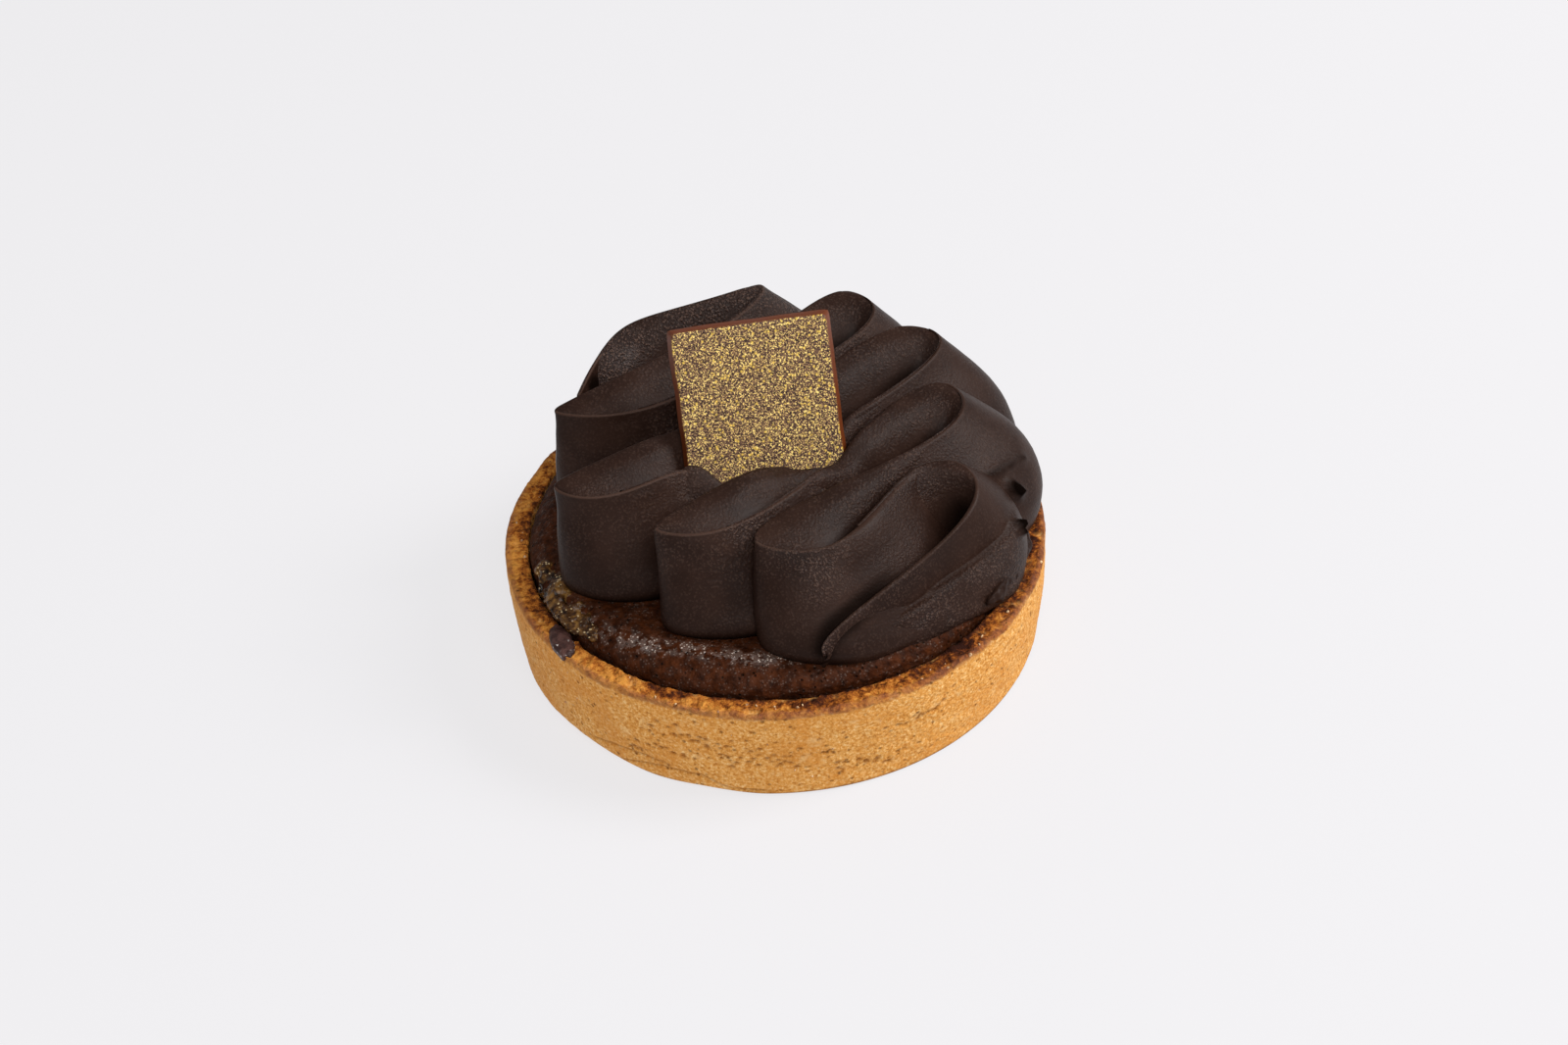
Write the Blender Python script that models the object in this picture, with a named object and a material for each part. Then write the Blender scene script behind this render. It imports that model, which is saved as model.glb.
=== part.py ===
"""Chocolate tart: shortcrust case, baked chocolate filling, one ribbon of piped ganache, chocolate square.

The tart's own frame has +Z up and its origin at the centre of the crust's flat bottom. The ribbon is piped in
a zigzag from the back (+Y) to the front (-Y). Lengths below are millimetres, and become metres in each mesh.
"""
import math
from typing import NamedTuple

import bmesh
import bpy
import numpy as np
from mathutils import Euler, Matrix, Vector

MM = 0.001
GAP = 0.3                      # clear space kept between neighbouring pieces

# Crust
RIM_RADIUS = 40.0
BASE_RADIUS = 39.3
CRUST_HEIGHT = 16.4
RIM_WIDTH = 4.0
FLOOR_THICKNESS = 4.0
EDGE_ROUND = 0.9
TURNED_STEPS = 72              # segments of every turned piece

# Filling, which puffed up into a ring just inside the rim
PUFF_HEIGHT = 3.1              # above the rim
PUFF_RADIUS = 30.8             # where the ring is highest
FILLING_MIDDLE = 2.2           # above the rim, under the ganache

# Ganache ribbon, from a nozzle with a slit that is wide at one end
RIBBON_LIP = 0.9               # at the turns, where the ribbon is stretched
RIBBON_CREST = 2.6             # halfway between two turns
RIBBON_FOOT = 7.0
RIBBON_TAPER = 1.5             # how soon the section thins towards the lip
FOOT_ROUND = 0.2               # share of the wall over which the foot is rounded
LIP_ROUND = 0.08               # share of the wall over which the lip is rounded
TAIL_WIDTH = 0.45              # of the section where the nozzle was pulled away
SWELL_REACH = 0.5              # share of a pass over which the belly of a turn dies away
PASS_STEPS = 16                # stations along one pass from turn to turn
WALL_LEVELS = (0.0, 0.03, 0.1, 0.2, 0.34, 0.5, 0.66, 0.82, 0.93, 0.975, 1.0)
FOLD_POINTS = 6                # points across a fold
FOLD_SLOPE = 0.35              # how evenly a fold slopes to its valley, which lies along its front wall
FOLD_END = 0.3                 # share of a pass over which a fold opens at its far end
FOLD_DROP = 7.0                # how much deeper it is there
FUSE_GRID = 0.5                # grid on which the passes melt into one body
GANACHE_TRIANGLES = 5400

# Chocolate square
SQUARE_WIDTH = 22.0
SQUARE_LENGTH = 24.0
SQUARE_THICKNESS = 1.6
SQUARE_DRAFT = 0.55            # the back is this much wider on every side
SQUARE_TOP_LEFT = (-13.1, 5.9, 47.3)
SQUARE_LEAN = 35.0             # degrees back from upright
SQUARE_YAW = 2.0
SQUARE_ROLL = 3.0
DENT_DEPTH = 4.5               # how far the square pushed the ribbon's lip down where it went in
DENT_REACH = 3.0
RIDGE_THICKNESS = 2.6          # of the ridge that it squeezed up along its front, at its left
RIDGE_HEIGHT = 7.0
RIDGE_SIDES = 10
RIDGE_CREST = (                # x, z of the ridge's crest in the square's own frame
    (-3.4, -20.6), (-1.6, -19.3), (-0.2, -18.6), (1.3, -18.7),
    (2.8, -19.7), (4.4, -21.1), (6.0, -22.2), (8.0, -24.5),
)

# Nut cream that boiled out between filling and rim, as an arc beside the rim
SEEP_START = -163.0            # degrees about Z
SEEP_STOP = -136.0
SEEP_RADIUS = 34.9
SEEP_LEVEL = CRUST_HEIGHT + 1.6
SEEP_HALF_WIDTH = 2.3
SEEP_HALF_HEIGHT = 1.7
SEEP_LUMPS = 3.5
SEEP_STEPS = 20
SEEP_SIDES = 12


class Turn(NamedTuple):
    """One turn of the zigzag, as the thin upper lip of the ribbon passes it, and the pass that starts there."""
    lip: tuple                 # x, y, z of the lip
    arrive: tuple              # Bezier handle of the pass that ends here
    leave: tuple               # Bezier handle of the pass that starts here
    foot: tuple                # foot of the wall below: dx, dy from the lip, and its own z
    swell: float               # how far the wall bellies out, + to the left of the way along
    sag: tuple                 # how much more the next pass leans at its middle (dx, dy)
    fold: tuple                # inside this turn: the fold's depth, share of a pass where it gets there, and reach


TURNS = (
    Turn((-27.5, 9, 35), (0, 0, 0), (5.5, 22, 0), (1, 1, 18), 0.5, (3, -5), ()),
    Turn((0, 31, 38), (-20, -10, 0), (2.5, -8, 0), (9, 1, 17), 4, (-2, -4), (4, 0.4, 1)),
    Turn((-31, 6.3, 34.5), (4, 4.5, 0), (22, -9, 0), (2, -1.5, 18.5), -0.5, (0, -2), (3.5, 0.5, 0.95)),
    Turn((13.2, 29, 37), (-8.5, 1, 0), (18, -10.5, 0), (7, -2, 16), 4, (-2, -4), (4.5, 0.3, 0.8)),
    Turn((-30.5, -9.8, 33.5), (2, 5, 0), (13, -14.5, 0), (3, -3.5, 18.5), -0.5, (0, -2), (3.5, 0.5, 0.95)),
    Turn((22, 21, 35.5), (-9, 2.5, 0), (19, -5, 0), (8.5, -4, 16), 4.2, (-2, -4), (4.5, 0.3, 0.8)),
    Turn((-16.4, -19.6, 33), (1, 5, 0), (17, -9.5, 0), (3, -4, 18.5), -0.5, (0, -2), (3.5, 0.5, 0.95)),
    Turn((26.3, 8.1, 34), (-9, 4, 0), (10, -13, 0), (7, -4.5, 16), 5.6, (-2, -4), (4.5, 0.3, 0.8)),
    Turn((-2.7, -23, 32.5), (-2, 8, 0), (16, -10, 0), (3, -6, 18.5), -1, (0, -2), (4, 0.6, 0.95)),
    Turn((25.7, -8.8, 33), (-11, 3.5, 0), (11.5, -9.2, -1.7), (3, 2, 16), 4.5, (0.5, -0.5), (6, 0.3, 0.95)),
    Turn((5.6, -34.5, 22.1), (-4.1, 1, 3.6), (0, 0, 0), (0.5, 1.5, 18.5), 0.5, (0, 0), ()),
)


def clear_scene() -> None:
    """Remove every object, so that the script gives the same scene each run."""
    for existing in list(bpy.data.objects):
        bpy.data.objects.remove(existing, do_unlink=True)


def make_material(name: str, colour: tuple, roughness: float) -> bpy.types.Material:
    """Return a plain Principled material."""
    material = bpy.data.materials.new(name)
    material.use_nodes = True
    shader = material.node_tree.nodes["Principled BSDF"]
    shader.inputs["Base Color"].default_value = (*colour, 1.0)
    shader.inputs["Roughness"].default_value = roughness
    shader.inputs["Metallic"].default_value = 0.0
    material.diffuse_color = (*colour, 1.0)
    return material


def add_object(name: str, mesh_data: bmesh.types.BMesh, material=None, sharp_degrees: float = 40.0):
    """Scale a bmesh from millimetres to metres and link it to the scene as a smooth-shaded object."""
    bmesh.ops.scale(mesh_data, vec=(MM, MM, MM), verts=mesh_data.verts)
    bmesh.ops.recalc_face_normals(mesh_data, faces=mesh_data.faces)
    mesh = bpy.data.meshes.new(name)
    mesh_data.to_mesh(mesh)
    mesh_data.free()
    mesh.shade_smooth()
    mesh.set_sharp_from_angle(angle=math.radians(sharp_degrees))
    made = bpy.data.objects.new(name, mesh)
    bpy.context.scene.collection.objects.link(made)
    if material:
        mesh.materials.append(material)
    return made


def turned(name: str, profile: list, material=None):
    """Turn a profile of (radius, height) about Z; it starts and ends on the axis, bottom first."""
    turned_mesh = bmesh.new()
    step = 2 * math.pi / TURNED_STEPS
    rings = []
    for radius, height in profile:
        if radius == 0:
            rings.append([turned_mesh.verts.new((0, 0, height))])
        else:
            rings.append([turned_mesh.verts.new((radius * math.cos(i * step), radius * math.sin(i * step), height))
                          for i in range(TURNED_STEPS)])
    for lower, upper in zip(rings, rings[1:]):
        for i in range(TURNED_STEPS):
            after = (i + 1) % TURNED_STEPS
            corners = [lower[i % len(lower)], lower[after % len(lower)],
                       upper[after % len(upper)], upper[i % len(upper)]]
            turned_mesh.faces.new(list(dict.fromkeys(corners)))
    return add_object(name, turned_mesh, material)


def arc(centre: tuple, radius: float, start: float, stop: float, steps: int) -> list:
    """Return points of (radius, height) along an arc, its angles in degrees."""
    angles = [math.radians(start + (stop - start) * i / steps) for i in range(steps + 1)]
    return [(centre[0] + radius * math.cos(a), centre[1] + radius * math.sin(a)) for a in angles]


def filling_top() -> list:
    """Return the filling's top profile, from the rim's inner edge in to the axis."""
    edge = RIM_RADIUS - RIM_WIDTH - GAP
    crest = CRUST_HEIGHT + PUFF_HEIGHT
    fall = edge - PUFF_RADIUS
    shoulder = [(PUFF_RADIUS + fall * math.cos(a), CRUST_HEIGHT - 0.4 + (PUFF_HEIGHT + 0.4) * math.sin(a) ** 0.9)
                for a in (math.radians(d) for d in (0, 15, 32, 50, 70, 90))]
    middle = CRUST_HEIGHT + FILLING_MIDDLE
    inner = [(PUFF_RADIUS - 2.5, crest - 0.3), (PUFF_RADIUS - 6.0, middle + 0.1), (0, middle)]
    return shoulder + inner


def make_crust(material):
    """Shortcrust case: a flat floor and a wall that leans out a little, with a flat rounded rim."""
    r = EDGE_ROUND
    inner = RIM_RADIUS - RIM_WIDTH
    profile = [(0, 0), (BASE_RADIUS - 1.2, 0), (BASE_RADIUS - 0.3, 0.4), (BASE_RADIUS, 1.4)]
    profile += [(RIM_RADIUS - 0.25, 8.0), (RIM_RADIUS, 12.5)]
    profile += arc((RIM_RADIUS - r, CRUST_HEIGHT - r), r, 0, 90, 3)
    profile += arc((inner + r, CRUST_HEIGHT - r), r, 90, 180, 3)
    profile += [(inner, FLOOR_THICKNESS + 1.5), (inner - 1.5, FLOOR_THICKNESS), (0, FLOOR_THICKNESS)]
    return turned("crust", profile, material)


def make_filling(material):
    """Baked chocolate that fills the case and stands above it as a puffed ring."""
    edge = RIM_RADIUS - RIM_WIDTH - GAP
    floor = FLOOR_THICKNESS + GAP
    profile = [(0, floor), (edge - 1.6, floor), (edge, floor + 1.5)] + filling_top()
    return turned("filling", profile, material)


def smooth(t: float) -> float:
    """Ease from 0 to 1 with level ends."""
    t = min(1.0, max(0.0, t))
    return t * t * (3 - 2 * t)


def dent(point: np.ndarray) -> float:
    """Return how far the ribbon is pushed down at a point by the square, which is near it or far from it."""
    rise = point[2] - SQUARE_TOP_LEFT[2]
    away = point[1] - SQUARE_TOP_LEFT[1] - rise * math.tan(math.radians(SQUARE_LEAN))
    aside = abs(point[0] - SQUARE_TOP_LEFT[0] - 0.5 * SQUARE_WIDTH) - 0.5 * SQUARE_WIDTH
    return DENT_DEPTH * math.exp(-(away / DENT_REACH) ** 2) * smooth(1 - aside / DENT_REACH)


def ribbon_stations() -> tuple:
    """Return the lips, the feet and the swells at all stations of the ribbon, as numpy arrays."""
    lips, feet, swells = [], [], []
    for start, end in zip(TURNS, TURNS[1:]):
        a, d = np.array(start.lip), np.array(end.lip)
        b, c = a + np.array(start.leave), d + np.array(end.arrive)
        final = 1 if end is TURNS[-1] else 0
        for t in np.arange(PASS_STEPS + final) / PASS_STEPS:
            lip = (1 - t) ** 3 * a + 3 * (1 - t) ** 2 * t * b + 3 * (1 - t) * t * t * c + t ** 3 * d
            foot = (1 - smooth(t)) * np.array(start.foot) + smooth(t) * np.array(end.foot)
            foot[:2] += lip[:2] + np.array(start.sag) * math.sin(math.pi * t) ** 2
            lip[2] -= dent(lip)
            lips.append(lip)
            feet.append(foot)
            swells.append(start.swell * smooth(1 - t / SWELL_REACH) + end.swell * smooth(1 - (1 - t) / SWELL_REACH))
    return np.array(lips), np.array(feet), np.array(swells)


def unit(rows: np.ndarray) -> np.ndarray:
    """Scale each row vector to length one."""
    return rows / np.linalg.norm(rows, axis=-1, keepdims=True)


def wall(levels: np.ndarray) -> np.ndarray:
    """Return points of the ribbon's middle surface at levels given as (station, level), 0 foot and 1 lip."""
    lips, feet, swells = ribbon_stations()
    along = np.gradient(0.5 * (lips + feet), axis=0)
    left = unit(np.stack([-along[:, 1], along[:, 0], np.zeros(len(lips))], axis=1))
    up = levels[..., None]
    belly = swells[:, None, None] * np.sin(np.pi * up ** 0.85)
    return feet[:, None] * (1 - up) + lips[:, None] * up + left[:, None] * belly


def loft(body: bmesh.types.BMesh, rings: np.ndarray) -> None:
    """Add a closed body through rings given as (ring, point, xyz)."""
    rows = [[body.verts.new(point) for point in ring] for ring in rings]
    count = rings.shape[1]
    for row, following in zip(rows, rows[1:]):
        for i in range(count):
            after = (i + 1) % count
            body.faces.new((row[i], row[after], following[after], following[i]))
    body.faces.new(rows[0])
    body.faces.new(rows[-1][::-1])


def add_ribbon(body: bmesh.types.BMesh) -> None:
    """Add the ribbon: a wedge-shaped section, thick at the foot, carried along the zigzag."""
    stations = len(ribbon_stations()[0])
    levels = np.array(WALL_LEVELS)
    sheet = wall(np.tile(levels, (stations, 1)))
    normals = -unit(np.cross(np.gradient(sheet, axis=0), np.gradient(sheet, axis=1)))
    between = np.sin(np.pi * (np.arange(stations) % PASS_STEPS) / PASS_STEPS)[:, None]
    lip = RIBBON_LIP + (RIBBON_CREST - RIBBON_LIP) * between ** 2
    half = 0.5 * (lip + (RIBBON_FOOT - lip) * (1 - levels) ** RIBBON_TAPER)
    half *= np.sqrt(1 - np.clip(1 - (levels + 0.02) / FOOT_ROUND, 0, 1) ** 2)
    half *= np.sqrt(1 - np.clip((levels - 1 + LIP_ROUND) / (1.2 * LIP_ROUND), 0, 1) ** 2)
    half *= np.interp(np.arange(stations), (stations - PASS_STEPS // 2, stations), (1.0, TAIL_WIDTH))[:, None]
    left_side = sheet + normals * half[..., None]
    right_side = sheet - normals * half[..., None]
    loft(body, np.concatenate([left_side, right_side[:, ::-1]], axis=1))


def add_folds(body: bmesh.types.BMesh) -> None:
    """Add the ganache between the two passes at each turn: it starts level with the rear lip and falls to a
    valley along the front wall, deeper and narrower towards its open end."""
    stations = len(ribbon_stations()[0])
    walls = wall(np.tile((0.0, 1.0), (stations, 1)))
    across = np.linspace(0, 1, FOLD_POINTS)[None, :]
    fall = FOLD_SLOPE * across + (1 - FOLD_SLOPE) * np.array([smooth((u - 0.15) / 0.8) for u in across[0]])
    for number, turn in enumerate(TURNS[1:-1], start=1):
        depth, grow, reach = turn.fold
        steps = np.arange(1, int(reach * PASS_STEPS) + 1)
        closed = np.array([smooth((reach - t) / FOLD_END) for t in steps / PASS_STEPS])[:, None]
        deep = np.array([depth * smooth(t / grow) for t in steps / PASS_STEPS])[:, None] + FOLD_DROP * (1 - closed)
        rear, front = walls[number * PASS_STEPS - steps], walls[number * PASS_STEPS + steps]
        share = (across * (0.3 + 0.7 * closed))[..., None]
        top = (1 - share) * rear[:, None, 1] + share * front[:, None, 1]
        top[..., 2] -= deep * fall
        low = rear[:, 0] * (1 - share[:, -1]) + front[:, 0] * share[:, -1]
        loft(body, np.concatenate([rear[:, None, 0], top, low[:, None]], axis=1))


def add_ridge(body: bmesh.types.BMesh) -> None:
    """Add the ridge that the square squeezed up along its front, an oval section along its crest."""
    place = square_placement()
    rings = []
    for i, (x, z) in enumerate(RIDGE_CREST):
        girth = math.sin(math.pi * (i + 0.3) / (len(RIDGE_CREST) - 0.4)) ** 0.5
        ring = []
        for side in range(RIDGE_SIDES):
            around = 2 * math.pi * side / RIDGE_SIDES
            depth = -GAP - 0.5 * RIDGE_THICKNESS * (1 + girth * math.cos(around))
            height = z + 0.5 * RIDGE_HEIGHT * (girth * math.sin(around) - 1)
            ring.append(place @ Vector((x, depth, height)))
        rings.append(ring)
    loft(body, np.array(rings))


def make_bed():
    """Cutter with the shape of everything under the ganache, raised by the gap."""
    rim_edge = RIM_RADIUS - RIM_WIDTH
    below = FLOOR_THICKNESS
    top = [(radius, height + GAP) for radius, height in filling_top()[1:]]
    profile = [(0, below), (RIM_RADIUS + 3.0, below), (RIM_RADIUS + 3.0, CRUST_HEIGHT + GAP),
               (rim_edge - 0.2, CRUST_HEIGHT + GAP)]
    return turned("ganache_bed", profile + top)


def square_placement() -> Matrix:
    """Return the place of the square's local frame: origin at its front top left, X along its top, Z up it."""
    turn = Euler((math.radians(-SQUARE_LEAN), 0.0, math.radians(SQUARE_YAW)), "XYZ").to_matrix().to_4x4()
    roll = Matrix.Rotation(-math.radians(SQUARE_ROLL), 4, "Y")
    return Matrix.Translation(Vector(SQUARE_TOP_LEFT)) @ turn @ roll


def make_square(name: str, clearance: float, material=None):
    """Flat square with drafted sides, its front face on the local XZ plane; a clearance makes it a cutter."""
    square = bmesh.new()
    draft = SQUARE_DRAFT
    corners = []
    for depth, grow in ((-clearance, clearance), (SQUARE_THICKNESS + clearance, clearance + draft)):
        corners.append([square.verts.new((x, depth, z)) for x, z in (
            (-grow, grow), (SQUARE_WIDTH + grow, grow),
            (SQUARE_WIDTH + grow, -SQUARE_LENGTH - grow), (-grow, -SQUARE_LENGTH - grow))])
    front, back = corners
    square.faces.new(front)
    square.faces.new(back[::-1])
    for i in range(4):
        after = (i + 1) % 4
        square.faces.new((front[after], front[i], back[i], back[after]))
    if not clearance:
        bmesh.ops.bevel(square, geom=square.edges[:], offset=0.25, segments=2, affect="EDGES", profile=0.5)
    bmesh.ops.transform(square, matrix=square_placement(), verts=square.verts)
    return add_object(name, square, material)


def cut(target, cutter) -> None:
    """Cut one object out of another."""
    modifier = target.modifiers.new("Cut " + cutter.name, "BOOLEAN")
    modifier.operation = "DIFFERENCE"
    modifier.object = cutter
    modifier.solver = "MANIFOLD"      # the melted body has near-touching folds, on which EXACT gives nothing
    cutter.hide_render = True
    cutter.display_type = "WIRE"


def fuse(target) -> None:
    """Melt overlapping bodies into one on a fine grid, then even out its steps and thin its triangles."""
    melt = target.modifiers.new("Melt", "REMESH")
    melt.mode = "VOXEL"
    melt.voxel_size = FUSE_GRID * MM
    even = target.modifiers.new("Even", "SMOOTH")
    even.iterations = 2
    melted = target.evaluated_get(bpy.context.evaluated_depsgraph_get()).data
    triangles = sum(len(face.vertices) - 2 for face in melted.polygons)
    thin = target.modifiers.new("Thin", "DECIMATE")
    thin.ratio = GANACHE_TRIANGLES / triangles


def make_ganache(material):
    """The piped ribbon with its folds, fitted over the filling and slotted for the square."""
    body = bmesh.new()
    add_ribbon(body)
    add_folds(body)
    add_ridge(body)
    ganache = add_object("ganache", body, material)
    fuse(ganache)
    cut(ganache, make_bed())
    cut(ganache, make_square("square_slot", GAP))
    return ganache


def make_seep(material):
    """Lumpy run of nut cream, wider towards its front end, lying on the filling's shoulder and the rim."""
    seep = bmesh.new()
    rings = []
    for i in range(SEEP_STEPS + 1):
        t = i / SEEP_STEPS
        angle = math.radians(SEEP_START + (SEEP_STOP - SEEP_START) * t)
        girth = math.sqrt(math.sin(math.pi * (0.02 + 0.96 * t))) * (0.75 + 0.35 * t)
        girth *= 1 + 0.14 * math.sin(2 * math.pi * SEEP_LUMPS * t)
        middle = SEEP_RADIUS - 0.6 * t
        ring = []
        for side in range(SEEP_SIDES):
            around = 2 * math.pi * side / SEEP_SIDES
            radius = middle + girth * SEEP_HALF_WIDTH * math.cos(around)
            height = SEEP_LEVEL + girth * SEEP_HALF_HEIGHT * math.sin(around)
            ring.append(seep.verts.new((radius * math.cos(angle), radius * math.sin(angle), height)))
        rings.append(ring)
    for ring, following in zip(rings, rings[1:]):
        for side in range(SEEP_SIDES):
            after = (side + 1) % SEEP_SIDES
            seep.faces.new((ring[side], ring[after], following[after], following[side]))
    seep.faces.new(rings[0])
    seep.faces.new(rings[-1][::-1])
    made = add_object("nut_cream", seep, material)
    cut(made, bpy.data.objects["ganache_bed"])
    return made


def main() -> None:
    """Build the tart."""
    clear_scene()
    make_crust(make_material("shortcrust", (0.55, 0.30, 0.12), 0.85))
    make_filling(make_material("baked_chocolate", (0.09, 0.035, 0.02), 0.6))
    make_ganache(make_material("ganache", (0.045, 0.03, 0.025), 0.5))
    make_square("chocolate_square", 0.0, make_material("gold_dust", (0.45, 0.30, 0.10), 0.45))
    make_seep(make_material("nut_cream", (0.28, 0.20, 0.07), 0.35))


main()
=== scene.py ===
"""Looks of a single-portion chocolate tart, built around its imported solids.

The tart stands on its crust's flat bottom at the origin, with +Z up. Lengths in the classes are millimetres
and become metres when a mesh is made; colours are given as display values and become linear ones.
"""
import itertools
import logging
import math
from dataclasses import dataclass, field
from enum import Enum
from typing import NamedTuple

import bmesh
import bpy
import numpy as np
from mathutils import Euler, Matrix, Vector


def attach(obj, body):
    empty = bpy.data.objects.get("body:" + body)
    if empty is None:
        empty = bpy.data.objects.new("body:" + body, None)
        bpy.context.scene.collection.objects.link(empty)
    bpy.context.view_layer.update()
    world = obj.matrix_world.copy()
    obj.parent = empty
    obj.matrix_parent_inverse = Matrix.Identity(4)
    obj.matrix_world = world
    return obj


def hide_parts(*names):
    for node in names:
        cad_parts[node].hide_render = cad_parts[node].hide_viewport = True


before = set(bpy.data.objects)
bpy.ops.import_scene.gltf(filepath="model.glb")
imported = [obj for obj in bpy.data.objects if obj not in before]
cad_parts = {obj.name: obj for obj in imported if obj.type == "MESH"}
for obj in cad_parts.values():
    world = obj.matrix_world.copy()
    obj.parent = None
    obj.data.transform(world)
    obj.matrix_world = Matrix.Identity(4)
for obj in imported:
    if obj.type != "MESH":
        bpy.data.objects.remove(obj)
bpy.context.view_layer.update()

MM = 0.001
LOG = logging.getLogger("tart")


class Slot(Enum):
    """Material slots of the record, by the finish that each stands for."""

    SHORTCRUST = "shortcrust"
    BAKED = "baked_chocolate"
    GANACHE = "ganache"
    GOLD = "gold_dust"
    CREAM = "nut_cream"


class Tone(NamedTuple):
    """A colour as display values from 0 to 255."""

    red: float
    green: float
    blue: float

    def linear(self) -> tuple[float, float, float, float]:
        """Return the colour as linear light with full alpha."""
        parts = [value / 255.0 for value in self]
        return (*(p / 12.92 if p <= 0.04045 else ((p + 0.055) / 1.055) ** 2.4 for p in parts), 1.0)


# ---------------------------------------------------------------- shared tools


def smooth(value: np.ndarray | float) -> np.ndarray:
    """Ease values from 0 to 1 with level ends, clipping them first."""
    t = np.clip(value, 0.0, 1.0)
    return t * t * (3 - 2 * t)


def unit(rows: np.ndarray) -> np.ndarray:
    """Scale each row vector to length one."""
    return rows / np.maximum(np.linalg.norm(rows, axis=-1, keepdims=True), 1e-12)


class SolidNoise:
    """Smooth seeded noise through space, for shaping meshes."""

    def __init__(self, seed: int) -> None:
        """Make the lattice.

        Args:
            seed: fixes the whole pattern.
        """
        rng = np.random.default_rng(seed)
        self.order = np.tile(rng.permutation(256), 3)
        self.slopes = unit(rng.normal(size=(256, 3)))

    def at(self, points: np.ndarray, size: float, octaves: int = 1) -> np.ndarray:
        """Sample the noise.

        Args:
            points: array whose last axis is xyz, in millimetres.
            size: width of one bump of the coarsest octave, in millimetres.
            octaves: how many octaves are added, each half as wide and half as strong.

        Returns:
            Values of about -1 to 1, with the shape of points without its last axis.
        """
        total = np.zeros(points.shape[:-1])
        for octave in range(octaves):
            place = points * (2.0 ** octave / size) + 17.3 * octave
            cell = np.floor(place).astype(int)
            part = place - cell
            fade = part ** 3 * (part * (part * 6 - 15) + 10)
            for corner in itertools.product((0, 1), repeat=3):
                spot = (cell + corner) & 255
                index = self.order[self.order[self.order[spot[..., 0]] + spot[..., 1]] + spot[..., 2]]
                slope = ((part - corner) * self.slopes[index]).sum(axis=-1)
                weight = np.prod(np.where(corner, fade, 1 - fade), axis=-1)
                total += 1.6 * 0.5 ** octave * slope * weight
        return total


def grid_faces(rows: int, columns: int, first: int = 0, wrap: bool = True) -> list[tuple[int, ...]]:
    """List the quads between consecutive rows of vertices.

    Args:
        rows: number of rows.
        columns: vertices in each row.
        first: index of the first vertex.
        wrap: whether the last column joins the first.

    Returns:
        Quads as tuples of vertex indices.
    """
    row = np.arange(rows - 1)[:, None]
    column = np.arange(columns if wrap else columns - 1)[None, :]
    after = (column + 1) % columns
    corners = (row * columns + column, row * columns + after, (row + 1) * columns + after, (row + 1) * columns + column)
    return [tuple(quad) for quad in (np.stack(corners, axis=-1).reshape(-1, 4) + first).tolist()]


def grid_normals(points: np.ndarray, wrap: bool) -> np.ndarray:
    """Return unit normals of a grid of points (row, column, xyz).

    Args:
        points: the grid.
        wrap: whether its columns close on themselves.

    Returns:
        Normals of the same shape, along row step cross column step.
    """
    down = np.gradient(points, axis=0)
    if wrap:
        along = 0.5 * (np.roll(points, -1, axis=1) - np.roll(points, 1, axis=1))
    else:
        along = np.gradient(points, axis=1)
    return unit(np.cross(down, along))


class PieceMesh:
    """Gathers the vertices, faces and surface values of one piece, and makes its object."""

    def __init__(self) -> None:
        """Start empty."""
        self.points: list[np.ndarray] = []
        self.runs: list[np.ndarray] = []
        self.masks: list[np.ndarray] = []
        self.faces: list[tuple[int, ...]] = []
        self.count = 0

    def add(self, points: np.ndarray, faces: list, run: np.ndarray | None = None,
            mask: np.ndarray | None = None) -> None:
        """Add vertices with faces that count from the first of them.

        Args:
            points: vertices in millimetres, last axis xyz.
            faces: tuples of indices into these points.
            run: surface coordinates of each vertex, last axis uv.
            mask: one value for each vertex.
        """
        flat = points.reshape(-1, 3)
        self.faces += [tuple(index + self.count for index in face) for face in faces]
        self.points.append(flat)
        self.runs.append(np.zeros((len(flat), 2)) if run is None else run.reshape(-1, 2))
        self.masks.append(np.zeros(len(flat)) if mask is None else mask.reshape(-1))
        self.count += len(flat)

    def add_loft(self, rings: np.ndarray, run: np.ndarray, mask: np.ndarray) -> None:
        """Add a closed body through rings (ring, point, xyz), with its ends capped."""
        rows, columns = rings.shape[:2]
        faces = grid_faces(rows, columns)
        faces.append(tuple(range(columns))[::-1])
        faces.append(tuple(range((rows - 1) * columns, rows * columns)))
        self.add(rings, faces, run, mask)

    def make(self, name: str, finish: bpy.types.Material) -> bpy.types.Object:
        """Make the object, in metres, smooth shaded, at the origin.

        Args:
            name: the piece's name.
            finish: its material.

        Returns:
            The new object, linked to the scene.
        """
        mesh = bpy.data.meshes.new(name)
        mesh.from_pydata((np.concatenate(self.points) * MM).tolist(), [], self.faces)
        mesh.validate()
        run = np.concatenate(self.runs)
        corners = np.empty(len(mesh.loops), dtype=np.int32)
        mesh.loops.foreach_get("vertex_index", corners)
        mesh.uv_layers.new(name="run").data.foreach_set("uv", run[corners].astype(np.float32).ravel())
        mask = mesh.attributes.new("mask", "FLOAT", "POINT")
        mask.data.foreach_set("value", np.concatenate(self.masks).astype(np.float32))
        turn_outwards(mesh)
        mesh.shade_smooth()
        mesh.materials.append(finish)
        made = bpy.data.objects.new(name, mesh)
        bpy.context.scene.collection.objects.link(made)
        return made


def turn_outwards(mesh: bpy.types.Mesh) -> None:
    """Recalculate a closed mesh's normals so that they point out of it."""
    work = bmesh.new()
    work.from_mesh(mesh)
    bmesh.ops.recalc_face_normals(work, faces=work.faces)
    work.to_mesh(mesh)
    work.free()


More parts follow.
